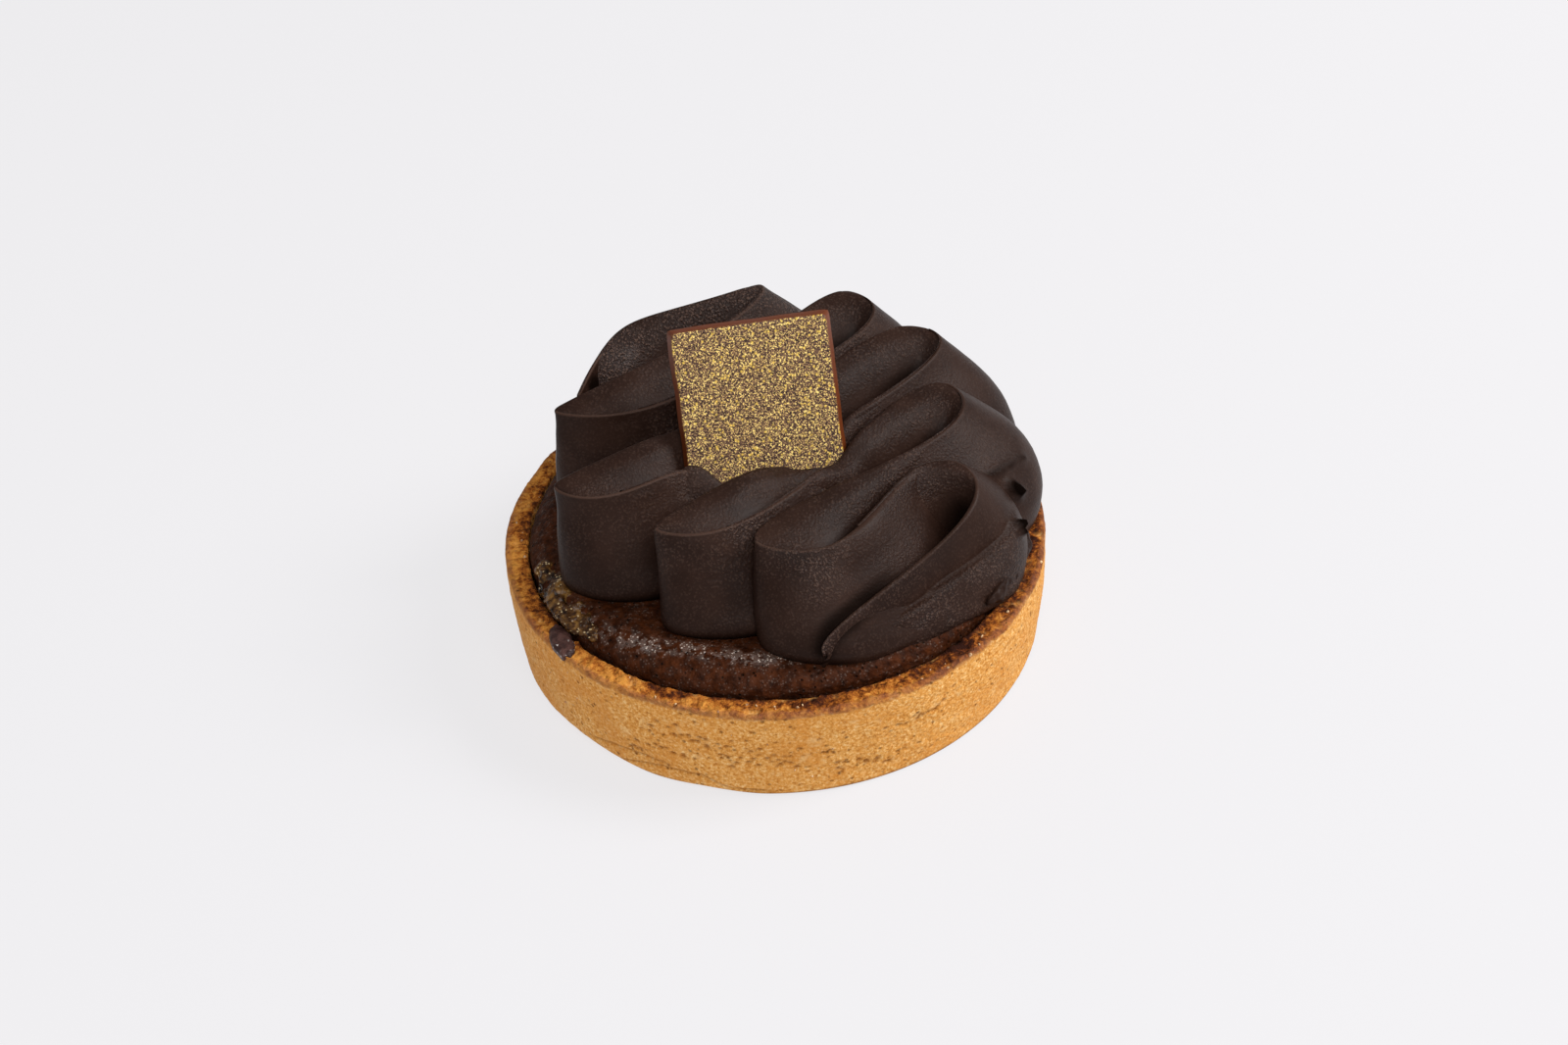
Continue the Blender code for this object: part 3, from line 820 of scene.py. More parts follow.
@dataclass
class Filling:
    """Baked filling, puffed into a wrinkled ring inside the rim."""

    edge: float = 36.0
    height: float = 16.4
    puff_height: float = 3.1
    puff_radius: float = 30.8
    middle: float = 2.2
    floor: float = 4.3
    segments: int = 620
    noise: SolidNoise = field(default_factory=lambda: SolidNoise(23))

    def outline(self) -> np.ndarray:
        """Return the profile as rows of radius and height."""
        fall = self.edge - self.puff_radius
        turn = np.radians(np.linspace(-8, 90, 34))
        rise = np.sign(np.sin(turn)) * np.abs(np.sin(turn)) ** 0.9
        shoulder = np.stack([self.puff_radius + fall * np.cos(turn), self.height - 0.4 + (self.puff_height + 0.4) * rise], axis=1)
        crest, level = self.height + self.puff_height, self.height + self.middle
        radii = np.linspace(self.puff_radius, 22.0, 24)[1:]
        heights = np.interp(radii, (22.0, 24.8, 28.3, self.puff_radius), (level, level + 0.1, crest - 0.3, crest))
        inner = np.stack([radii, heights], axis=1)
        low = np.array([(15.0, self.floor), (self.edge - 1.6, self.floor), (self.edge, self.floor + 1.5), (self.edge, 12.0)])
        return np.concatenate([low, shoulder, inner, np.array([(14.0, level), (5.0, level)])])

    def build(self, finish: bpy.types.Material) -> bpy.types.Object:
        """Build the filling and return its object."""
        profile = self.outline()
        angles = np.linspace(-180.0, 180.0, self.segments, endpoint=False)
        turn = np.radians(angles)
        grid = np.stack([profile[:, :1] * np.cos(turn), profile[:, :1] * np.sin(turn),
                         np.repeat(profile[:, 1:], self.segments, axis=1)], axis=-1)
        normals = grid_normals(grid, True)
        facing = np.sign(normals[30, :, 2].mean())
        shown = smooth((profile[:, 1:2] - 13.5) / 2.0)
        stretched = grid * (1.0, 1.0, 2.2)
        swell = 0.36 * self.noise.at(grid, 11.0) + 0.2 * self.noise.at(grid, 4.2) + 0.13 * self.noise.at(stretched, 1.8, 2) - 0.2
        moved = grid + facing * normals * (swell * shown)[..., None]
        # the mask marks a glossy band along the crest, where the finish lowers roughness and paints sheen and glints
        crest = np.interp(angles, (-140, -129, -115, -60), (34.2, 33.6, 31.7, 31.1))[None, :]
        crest_band = smooth(1.2 - np.abs(profile[:, :1] - crest) / 1.6) * (profile[:, 1:2] > 17)
        ahead = smooth(1 - np.abs(angles + 106) / 56)
        body = PieceMesh()
        rows = len(profile)
        faces = grid_faces(rows, self.segments)
        faces.append(tuple(range(self.segments)))
        faces.append(tuple(range((rows - 1) * self.segments, rows * self.segments))[::-1])
        body.add(moved, faces, mask=0.08 + 0.92 * crest_band * ahead)
        return body.make("baked_filling", finish)


# ---------------------------------------------------------------- ganache


class Turn(NamedTuple):
    """One turn of the zigzag, as the thin upper lip of the ribbon passes it, and the pass that starts there."""

    lip: tuple
    arrive: tuple
    leave: tuple
    foot: tuple
    swell: float
    sag: tuple
    fold: tuple


TURNS = (
    Turn((-27.5, 9, 35), (0, 0, 0), (5.5, 22, 0), (1, 1, 18), 0.5, (3, -5), ()),
    Turn((0, 31, 38), (-20, -10, 0), (2.5, -8, 0), (9, 1, 17), 4, (-2, -4), (4, 0.4, 1)),
    Turn((-31, 6.3, 34.5), (4, 4.5, 0), (22, -9, 0), (2, -1.5, 18.5), -0.5, (0, -2), (3.5, 0.5, 0.95)),
    Turn((13.2, 29, 37), (-8.5, 1, 0), (18, -10.5, 0), (7, -2, 16), 4, (-2, -4), (4.5, 0.3, 0.8)),
    Turn((-30.5, -9.8, 33.5), (2, 5, 0), (13, -14.5, 0), (3, -3.5, 18.5), -0.5, (0, -2), (3.5, 0.5, 0.95)),
    Turn((22, 21, 35.5), (-9, 2.5, 0), (19, -5, 0), (8.5, -4, 16), 4.2, (-2, -4), (4.5, 0.3, 0.8)),
    Turn((-16.4, -19.6, 33), (1, 5, 0), (17, -9.5, 0), (3, -4, 18.5), -0.5, (0, -2), (3.5, 0.5, 0.95)),
    Turn((26.3, 8.1, 34), (-9, 4, 0), (10, -13, 0), (7, -4.5, 16), 5.6, (-2, -4), (4.5, 0.3, 0.8)),
    Turn((-2.7, -23, 32.5), (-2, 8, 0), (16, -10, 0), (3, -6, 18.5), -1, (0, -2), (4, 0.6, 0.95)),
    Turn((25.7, -8.8, 33), (-11, 3.5, 0), (11.5, -9.2, -1.7), (3, 2, 16), 4.5, (0.5, -0.5), (6, 0.3, 0.95)),
    Turn((5.6, -34.5, 22.1), (-4.1, 1, 3.6), (0, 0, 0), (0.6, 2.2, 17.6), 0.5, (0, 0), ()),
)


@dataclass
class GanacheRibbon:
    """One ribbon of piped ganache in a zigzag, with the folds between its passes."""

    turns: tuple = TURNS
    steps: int = 84
    lip: float = 0.45
    crest: float = 0.9
    foot: float = 7.0
    taper: float = 1.5
    foot_round: float = 0.2
    tail: float = 0.55
    swell_reach: float = 0.5
    fold_slope: float = 0.35
    fold_end: float = 0.3
    fold_drop: float = 7.0
    corner_steps: int = 4
    dent_depth: float = 4.5
    dent_reach: float = 3.0
    band_level: float = 0.46
    band_depth: float = 1.5
    face_pass: int = 8
    lean: float = 0.88
    right_depth: float = 2.0
    left_depth: float = 1.5
    lip_drop: float = 0.5
    gouges: tuple = (((34.0, -5.9, 26.2), (34.5, -5.0, 23.4), 0.9, 2.2, 1.0),
                     ((33.9, -14.0, 27.2), (33.6, -14.9, 24.0), 0.7, 1.8, 1.0),
                     ((30.8, -6.0, 27.9), (36.0, 0.0, 26.0), 0.7, 0.8, 0.45),
                     ((-26.2, 13.8, 33.0), (-24.2, 16.8, 31.8), 1.6, 0.0, 0.6))
    glinting: tuple = (-20.5, 18.3, 3.2)
    skirt: tuple = (-39.0, -14.0, 36.9, 19.4)
    ridge_crest: tuple = ((-8.0, -23.6), (-5.6, -22.0), (-3.4, -20.6), (-1.6, -19.3), (-0.2, -18.6), (1.3, -18.7),
                          (2.8, -19.7), (4.4, -21.1), (6.0, -22.2), (8.0, -24.5))
    ridge_thickness: float = 2.6
    ridge_height: float = 7.0
    square: "ChocolateSquare" = field(default_factory=lambda: ChocolateSquare())
    noise: SolidNoise = field(default_factory=lambda: SolidNoise(37))

    def dent(self, lips: np.ndarray) -> np.ndarray:
        """Return how far the square pushes each point of the lip down."""
        left, front, top = self.square.top_left
        away = lips[:, 1] - front - (lips[:, 2] - top) * math.tan(math.radians(self.square.lean))
        aside = np.abs(lips[:, 0] - left - 0.5 * self.square.width) - 0.5 * self.square.width
        return self.dent_depth * np.exp(-(away / self.dent_reach) ** 2) * smooth(1 - aside / self.dent_reach)

    def rounded(self, rows: np.ndarray) -> np.ndarray:
        """Round the zigzag's corners by averaging each station with its neighbours."""
        reach = self.corner_steps
        weights = np.cos(np.linspace(-math.pi / 2, math.pi / 2, 2 * reach + 3)[1:-1]) ** 2
        weights /= weights.sum()
        padded = np.concatenate([np.repeat(rows[:1], reach, axis=0), rows, np.repeat(rows[-1:], reach, axis=0)])
        return sum(weight * padded[i:i + len(rows)] for i, weight in enumerate(weights))

    def stations(self) -> tuple[np.ndarray, np.ndarray, np.ndarray]:
        """Return the lips, the feet and the swells at all stations of the ribbon."""
        lips, feet, swells = [], [], []
        for start, end in zip(self.turns, self.turns[1:]):
            final = 1 if end is self.turns[-1] else 0
            t = (np.arange(self.steps + final) / self.steps)[:, None]
            a, d = np.array(start.lip), np.array(end.lip)
            b, c = a + np.array(start.leave), d + np.array(end.arrive)
            lip = (1 - t) ** 3 * a + 3 * (1 - t) ** 2 * t * b + 3 * (1 - t) * t * t * c + t ** 3 * d
            foot = (1 - smooth(t)) * np.array(start.foot) + smooth(t) * np.array(end.foot)
            foot[:, :2] += lip[:, :2] + np.array(start.sag) * np.sin(math.pi * t) ** 2
            lip[:, 2] -= self.dent(lip)
            lips.append(lip)
            feet.append(foot)
            swells.append(start.swell * smooth(1 - t / self.swell_reach)
                          + end.swell * smooth(1 - (1 - t) / self.swell_reach))
        return (self.rounded(np.concatenate(lips)), self.rounded(np.concatenate(feet)),
                self.rounded(np.concatenate(swells))[:, 0])

    def wall(self, levels: np.ndarray) -> np.ndarray:
        """Return points of the middle surface at levels given as (station, level), 0 foot and 1 lip."""
        lips, feet, swells = self.stations()
        along = np.gradient(0.5 * (lips + feet), axis=0)
        left = unit(np.stack([-along[:, 1], along[:, 0], np.zeros(len(lips))], axis=1))
        up = levels[..., None]
        belly = swells[:, None, None] * np.sin(np.pi * up ** 0.85)
        return feet[:, None] * (1 - up) + lips[:, None] * up + left[:, None] * belly

    def levels(self) -> np.ndarray:
        """Return the wall's levels, closer together at its foot and its lip."""
        return np.concatenate([[0.0, 0.012, 0.03, 0.055, 0.085, 0.12, 0.16], np.linspace(0.21, 0.9, 18),
                               [0.925, 0.945, 0.96, 0.972, 0.982, 0.99, 0.996, 1.0]])

    def lip_width(self, count: int) -> np.ndarray:
        """Return how thick the lip is at each station: thinnest at the turns."""
        between = np.sin(np.pi * (np.arange(count) % self.steps) / self.steps)
        return self.lip + (self.crest - self.lip) * between ** 2

    def face_share(self, side: np.ndarray) -> np.ndarray:
        """Return how far the front of the last pass but one leans against the pass before it.

        Args:
            side: side values of that pass as (station, column), 0 left foot, 1 lip and 2 right foot.

        Returns:
            Shares of the way across, as (station of that pass, side).
        """
        t = (np.arange(self.steps + 1) / self.steps)[:, None]
        level = np.where(side > 1, 2 - side, 1.0)
        return self.lean * smooth((t - 0.08) / 0.62) * (1 - level) ** 0.8

    def add_ribbon(self, body: PieceMesh) -> None:
        """Add the ribbon, its section a wedge with a rounded lip and foot."""
        count = len(self.stations()[0])
        station = np.arange(count)[:, None]
        last = smooth((station - count + 0.93 * self.steps) / (0.2 * self.steps))
        last = last * smooth((count - station - 0.24 * self.steps) / (0.2 * self.steps))
        back = smooth((count - 0.2 * self.steps - station) / (0.45 * self.steps))
        edge = self.band_level + 0.16 * back + 0.03 * self.noise.at(station * (0.09, 0.0, 0.0), 1.0, 2)[:, None]
        levels = np.tile(self.levels(), (count, 1))
        levels = edge + (levels - edge) * (1 - 0.75 * last * np.exp(-((levels - edge) / 0.11) ** 2))
        sheet = self.wall(levels)
        normals = grid_normals(sheet, False)
        high = np.linalg.norm(sheet[:, -1] - sheet[:, 0], axis=-1)[:, None]
        lip = self.lip_width(count)[:, None]
        half = 0.5 * (lip + (self.foot - lip) * (1 - levels) ** self.taper)
        half = half * np.sqrt(1 - np.clip(1 - (levels + 0.02) / self.foot_round, 0, 1) ** 2)
        cap = 0.5 * lip / high
        half = half * np.sqrt(np.clip(1 - np.clip((levels - 1 + cap) / cap, 0, 1) ** 2, 0, 1))
        half = half * np.interp(np.arange(count), (count - self.steps // 2, count), (1.0, self.tail))[:, None]
        left, right = sheet - normals * half[..., None], (sheet + normals * half[..., None])[:, -2::-1]
        rings = np.concatenate([left, right], axis=1)
        along = np.concatenate([[0.0], np.cumsum(np.linalg.norm(np.diff(sheet[:, 12], axis=0), axis=-1))])
        side = np.concatenate([levels, 2 - levels[:, -2::-1]], axis=1)
        height = np.minimum(side, 2 - side)
        run = np.stack(np.broadcast_arrays(along[:, None], 16.0 * side), axis=-1)
        across = np.stack([run[..., 0] * 0.14, run[..., 1], np.full(run.shape[:2], 3.0)], axis=-1)
        relief = 0.07 * self.noise.at(across, 2.6, 2) + 0.24 * self.noise.at(rings, 9.0)
        relief = relief * smooth(height / 0.1) * smooth((1.0 - height) / 0.12 + 0.25)
        face = self.face_pass * self.steps + np.arange(self.steps + 1)
        lips, leaning = self.stations()[0], self.face_share(side[face])
        over = lips[np.minimum(2 * face[-1] - face, count - 1)] - lips[face]
        rings[face] += (over * (1, 1, 0))[:, None] * leaning[..., None]
        band = last * (side < 1) * smooth((edge - side) / 0.022)
        relief = relief - self.band_depth * band * smooth(side / 0.12)
        normals = grid_normals(rings, True)
        rings = rings + normals * relief[..., None]
        middle = smooth((rings[..., 0] + 22) / 14) * smooth((22 - rings[..., 0]) / 12)
        tear_shade = np.zeros(rings.shape[:2])
        for start, end, wide, deep, dark in self.gouges:
            start, end = np.array(start), np.array(end)
            t = np.clip((rings - start) @ (end - start) / ((end - start) @ (end - start)), 0, 1)
            off = np.linalg.norm(rings - start - t[..., None] * (end - start), axis=-1)
            near = np.exp(-(off / (wide * (1 + 0.4 * self.noise.at(rings, 1.1)))) ** 3)
            rings = rings - normals * (deep * near)[..., None]
            # painted shade inside the tear
            tear_shade = np.maximum(tear_shade, dark * near)
        mask = 0.2 + 0.7 * middle * smooth((height - 0.4) / 0.3) * smooth(0.6 + self.noise.at(rings, 8.0))
        mask = np.maximum(mask, 0.7 * band)
        # painted shade on the last pass but one, along the gap behind the last pass's lip
        gap = np.linalg.norm(rings[face][:, :, None] - lips[None, None, face[-1] + 4:], axis=-1).min(axis=2)
        mask[face] -= (mask[face] + 1.1) * (side[face] > 1) * smooth((3.0 - gap) / 2.0)
        # painted shade under the drums' feet at the left, and inside the tears
        mask = mask - 1.1 * smooth((0.13 - height) / 0.1) * smooth((12 - rings[..., 0]) / 6) - 2.4 * tear_shade
        body.add_loft(rings, run, mask)

    def add_folds(self, body: PieceMesh) -> None:
        """Add the ganache between the two passes at each turn.

        It rounds over the rear lip, falls to a valley along the front wall, and grows deeper and narrower
        towards its open end.
        """
        count = len(self.stations()[0])
        lips = self.wall(np.tile((0.0, 0.9, 1.0), (count, 1)))
        width = self.lip_width(count)
        across = np.concatenate([np.linspace(0, 0.7, 12), np.linspace(0.75, 1.0, 10)])[None, :]
        fall = self.fold_slope * across + (1 - self.fold_slope) * smooth((across - 0.2) / 0.72)
        turned = np.radians(np.linspace(180, 90, 6))[None, :]
        for number, turn in enumerate(self.turns[1:-1], start=1):
            depth, grow, reach = turn.fold
            leaning = number == self.face_pass + 1
            reach = 0.6 if leaning else reach
            steps = np.arange(1, int(reach * self.steps) + 1)
            t = (steps / self.steps)[:, None]
            closed = smooth((reach - t) / self.fold_end)
            rounded = 1 - smooth((t - 0.06) / 0.24)
            right = number % 2
            begun = t - 0.08 * right
            deep = depth * (self.right_depth if right else self.left_depth) * smooth(begun / grow)
            deep = deep + self.fold_drop * (1 - closed)
            rear, front = lips[number * self.steps - steps], lips[number * self.steps + steps]
            girth = 0.5 * width[number * self.steps - steps][:, None] + 0.12
            ahead = unit((front[:, 2] - rear[:, 2]) * (1, 1, 0))[:, None]
            start = rear[:, 2].copy()
            start[:, 2] += 0.26 * smooth(t[:, 0] / 0.06) - 0.04
            back = start[:, None] + ahead * (girth * np.cos(turned))[..., None]
            back[..., 2] += girth * (np.sin(turned) - 1)
            share = (across * (0.03 + 0.97 * closed))[..., None]
            top = (1 - share) * start[:, None] + share * front[:, None, 2]
            sunk = (deep + self.lip_drop * (smooth(begun / 0.2) if right else 1.0)) * fall
            sunk = sunk * (1 - right * rounded * smooth((across - 0.7) / 0.3))
            if leaning:
                high = (rear[:, 2, 2] - rear[:, 0, 2])[:, None]
                face = high * (share[..., 0] / (self.lean * smooth((0.92 - t) / 0.62))) ** 1.25
                sunk = sunk + smooth((t - 0.1) / 0.26) * (face + 0.4 - sunk)
            top[..., 2] -= sunk + 0.14 * self.noise.at(top, 5.0) * (not leaning)
            low = rear[:, 0] * (1 - share[:, -1]) + front[:, 0] * share[:, -1]
            shoulder = rear[:, 1] - 0.6 * girth * ahead[:, 0]
            ring = np.concatenate([rear[:, None, 0], shoulder[:, None], back, top[:, 1:], low[:, None]], axis=1)
            side = np.concatenate([[-2.0, -0.6], np.linspace(-0.3, 0, 6), across[0, 1:], [2.0]])
            run = np.stack(np.broadcast_arrays(steps[:, None] * 0.6 + 70.0 * number, 9.0 * side[None, :]), axis=-1)
            rough = 0.9 if number == 1 else 0.4 if right else 0.3 + 0.3 * smooth((t - 0.25) / 0.4)
            # painted shade in the deep part of each fold's valley, carried as negative mask
            valley = (1.0 if right else 0.7) * smooth((sunk - 1.2) / 3.2) * smooth((across - 0.35) / 0.4)
            valley = np.concatenate([np.zeros((len(t), 8)), valley[:, 1:], valley[:, -1:]], axis=1)
            # a patch of stronger grain, with more painted highlight specks and shine
            x, y, wide = self.glinting
            rough = rough + 0.9 * np.exp(-((ring[..., 0] - x) ** 2 + (ring[..., 1] - y) ** 2) / wide ** 2)
            body.add_loft(ring, run, rough - (rough + 1.0) * valley)

    def add_ridge(self, body: PieceMesh) -> None:
        """Add the ridge that the square squeezed up along its front."""
        crest = np.array(self.ridge_crest)
        spots = np.linspace(0, len(crest) - 1, 72)
        x, z = (np.interp(spots, np.arange(len(crest)), crest[:, axis]) for axis in (0, 1))
        soft = np.array((1, 2, 3, 4, 5, 4, 3, 2, 1)) / 25.0
        x, z = (np.convolve(np.pad(row, 4, mode="edge"), soft, mode="valid") for row in (x, z))
        girth = np.sin(np.pi * (np.arange(72) + 2) / 75)[:, None] ** 0.5
        around = np.linspace(0, 2 * math.pi, 36, endpoint=False)[None, :]
        depth = -0.3 - 0.5 * self.ridge_thickness * (1 + girth * np.cos(around))
        height = z[:, None] + 0.5 * self.ridge_height * (girth * np.sin(around) - 1)
        local = np.stack(np.broadcast_arrays(x[:, None], depth, height), axis=-1)
        place = self.square.placement()
        rings = local @ np.array(place.to_3x3()).T + np.array(place.translation)
        body.add_loft(rings, np.zeros((72, 36, 2)), np.full((72, 36), 0.5))

    def add_skirt(self, body: PieceMesh) -> None:
        """Add the ragged foot that spreads against the rim at the ribbon's right."""
        start, stop, radius, level = self.skirt
        t = np.linspace(0, 1, 110)[:, None]
        around = np.linspace(0, 2 * math.pi, 40, endpoint=False)[None, :]
        angle = np.radians(start + (stop - start) * t)
        girth = np.sin(math.pi * (0.02 + 0.96 * t)) ** 0.4
        out = radius + 1.2 * girth * np.cos(around)
        rings = np.stack([out * np.cos(angle), out * np.sin(angle), level + 1.7 * girth * np.sin(around)], axis=-1)
        normals = grid_normals(rings, True)
        normals = normals * np.sign(normals[55, 10, 2])
        rings = rings + normals * (0.6 * self.noise.at(rings, 2.0, 2))[..., None]
        # the negative mask gives the skirt a light painted shade
        body.add_loft(rings, np.zeros((110, 40, 2)), np.full((110, 40), -0.25))

    def build(self, finish: bpy.types.Material) -> bpy.types.Object:
        """Build the ganache and return its object."""
        body = PieceMesh()
        self.add_skirt(body)
        self.add_ribbon(body)
        self.add_folds(body)
        self.add_ridge(body)
        return body.make("piped_ganache", finish)


# ---------------------------------------------------------------- chocolate square


@dataclass
class ChocolateSquare:
    """Thin square of chocolate that stands in the ganache and leans back; its back is a little wider."""

    width: float = 22.0
    length: float = 24.0
    thickness: float = 1.6
    draft: float = 0.55
    top_left: tuple = (-13.1, 5.9, 47.3)
    lean: float = 35.0
    yaw: float = 2.0
    roll: float = 3.0
    cuts: int = 40
    noise: SolidNoise = field(default_factory=lambda: SolidNoise(53))

    def placement(self) -> Matrix:
        """Return the place of the local frame: origin at the front top left, X along the top, Z up."""
        turn = Euler((math.radians(-self.lean), 0.0, math.radians(self.yaw)), "XYZ").to_matrix().to_4x4()
        return Matrix.Translation(Vector(self.top_left)) @ turn @ Matrix.Rotation(-math.radians(self.roll), 4, "Y")

    def build(self, finish: bpy.types.Material) -> bpy.types.Object:
        """Build the square and return its object."""
        place = self.placement()
        rows = [(0.55, 0.0, 1.0), (0.18, 0.0, 1.0), (0.05, 0.04, 0.45), (0.0, 0.16, 0.0),
                (-0.3 * self.draft, 0.5, 0.0), (-0.85 * self.draft, 1.3, 0.0), (-self.draft, 1.5, 0.0), (-self.draft + 0.15, 1.6, 0.0)]
        steps = self.cuts
        side = np.arange(steps) / steps
        rings, masks = [], []
        for inset, depth, face in rows:
            wide, tall = self.width - 2 * inset, self.length - 2 * inset
            corner = 0.35
            loop = []
            for t in side:
                loop.append((inset + wide * t, -inset))
            for t in side:
                loop.append((inset + wide, -inset - tall * t))
            for t in side:
                loop.append((inset + wide * (1 - t), -inset - tall))
            for t in side:
                loop.append((inset, -inset - tall * (1 - t)))
            loop = np.array(loop)
            centre = np.array((0.5 * self.width, -0.5 * self.length))
            span = np.abs(loop - centre) / (0.5 * np.array((wide, tall)))
            pull = corner * np.clip(span.min(axis=1) - 0.94, 0, 1) / 0.06
            loop = loop - np.sign(loop - centre) * pull[:, None] * 0.5
            points = np.stack([loop[:, 0], np.full(len(loop), depth), loop[:, 1]], axis=-1)
            wave = self.noise.at(np.stack([loop[:, 0], loop[:, 1], np.zeros(len(loop))], axis=-1), 7.0, 2)
            points[:, 0] += 0.14 * wave * (face < 0.9)
            points[:, 2] += 0.16 * np.roll(wave, 9) * (face < 0.9)
            rings.append(points)
            masks.append(np.full(len(loop), face))
        rings = np.array(rings)
        world = np.array(place.to_3x3()) @ rings.reshape(-1, 3).T
        world = world.T + np.array(place.translation)
        body = PieceMesh()
        columns = 4 * steps
        faces = grid_faces(len(rows), columns)
        faces.append(tuple(range(columns))[::-1])
        faces.append(tuple(range((len(rows) - 1) * columns, len(rows) * columns)))
        body.add(world, faces, mask=np.array(masks))
        made = body.make("gold_square", finish)
        made.data.set_sharp_from_angle(angle=math.radians(50))
        return made


# ---------------------------------------------------------------- small pieces


@dataclass
class NutCreamSeep:
    """Lumpy run of nut cream beside the rim, with two deep pits."""

    start: float = -170.0
    stop: float = -136.0
    radius: float = 34.0
    level: float = 18.0
    half_width: float = 2.7
    half_height: float = 1.5
    steps: int = 150
    sides: int = 56
    pits: tuple = ((-33.4, -12.5, 1.0), (-28.9, -17.0, 0.9))
    bubble: tuple = (-30.7, -14.3, 1.4)
    noise: SolidNoise = field(default_factory=lambda: SolidNoise(71))

    def build(self, finish: bpy.types.Material) -> bpy.types.Object:
        """Build the seep and return its object."""
        t = np.linspace(0, 1, self.steps)[:, None]
        around = np.linspace(0, 2 * math.pi, self.sides, endpoint=False)[None, :]
        angle = np.radians(self.start + (self.stop - self.start) * t)
        girth = np.sqrt(np.sin(math.pi * (0.01 + 0.98 * t))) * (0.8 + 0.3 * t)
        radius = self.radius + 0.5 * t + girth * self.half_width * np.cos(around)
        height = self.level - 0.4 * t + girth * self.half_height * np.sin(around)
        rings = np.stack([radius * np.cos(angle), radius * np.sin(angle), height], axis=-1)
        normals = grid_normals(rings, True)
        facing = np.sign(normals[self.steps // 2, self.sides // 4, 2])
        lumps = 0.55 * self.noise.at(rings, 2.2, 3) + 0.2 * self.noise.at(rings, 0.8)
        rings = rings + facing * normals * lumps[..., None]
        # dark marks the pits, where the finish paints shade
        dark = np.zeros(rings.shape[:2])
        for x, y, width in self.pits:
            near = np.exp(-(((rings[..., 0] - x) ** 2 + (rings[..., 1] - y) ** 2) / width ** 2) ** 1.5)
            rings[..., 2] -= 1.8 * near
            dark = np.maximum(dark, near)
        x, y, width = self.bubble
        rings[..., 2] += 0.7 * np.exp(-(((rings[..., 0] - x) ** 2 + (rings[..., 1] - y) ** 2) / width ** 2) ** 2)
        body = PieceMesh()
        body.add_loft(rings, np.zeros((*rings.shape[:2], 2)), dark)
        return body.make("nut_cream_seep", finish)


@dataclass
class BurntSpot:
    """Patch of dried chocolate that lies on the rim."""

    centre: tuple = (-30.6, -22.5)
    radii: tuple = (1.5, 3.6)
    turn: float = 20.0
    level: float = 16.1
    height: float = 0.85
    noise: SolidNoise = field(default_factory=lambda: SolidNoise(83))

    def build(self, finish: bpy.types.Material) -> bpy.types.Object:
        """Build the spot and return its object."""
        rings, sides = 26, 72
        around = np.linspace(0, 2 * math.pi, sides, endpoint=False)[None, :]
        out = np.sin(np.linspace(0.04, math.pi / 2, rings))[:, None]
        edge = 1 + 0.13 * self.noise.at(np.stack(np.broadcast_arrays(1.6 * np.cos(around), 1.6 * np.sin(around), 0.0 * around), axis=-1), 0.9, 2)
        x, y = self.radii[0] * out * edge * np.cos(around), self.radii[1] * out * edge * np.sin(around)
        turn = math.radians(self.turn)
        points = np.stack([self.centre[0] + x * math.cos(turn) - y * math.sin(turn),
                           self.centre[1] + x * math.sin(turn) + y * math.cos(turn),
                           self.level + self.height * np.sqrt(1 - 0.98 * out ** 2) + 0.0 * x], axis=-1)
        points[..., 2] += 0.14 * self.noise.at(points, 1.3, 2)
        under = points[-1:].copy()
        under[..., 2] = self.level - 0.5
        body = PieceMesh()
        grid = np.concatenate([points, under])
        faces = grid_faces(rings + 1, sides)
        faces.append(tuple(range(sides))[::-1])
        faces.append(tuple(range(rings * sides, (rings + 1) * sides)))
        body.add(grid, faces, mask=smooth((self.centre[1] - grid[..., 1]) / 1.5))
        return body.make("burnt_spot", finish)


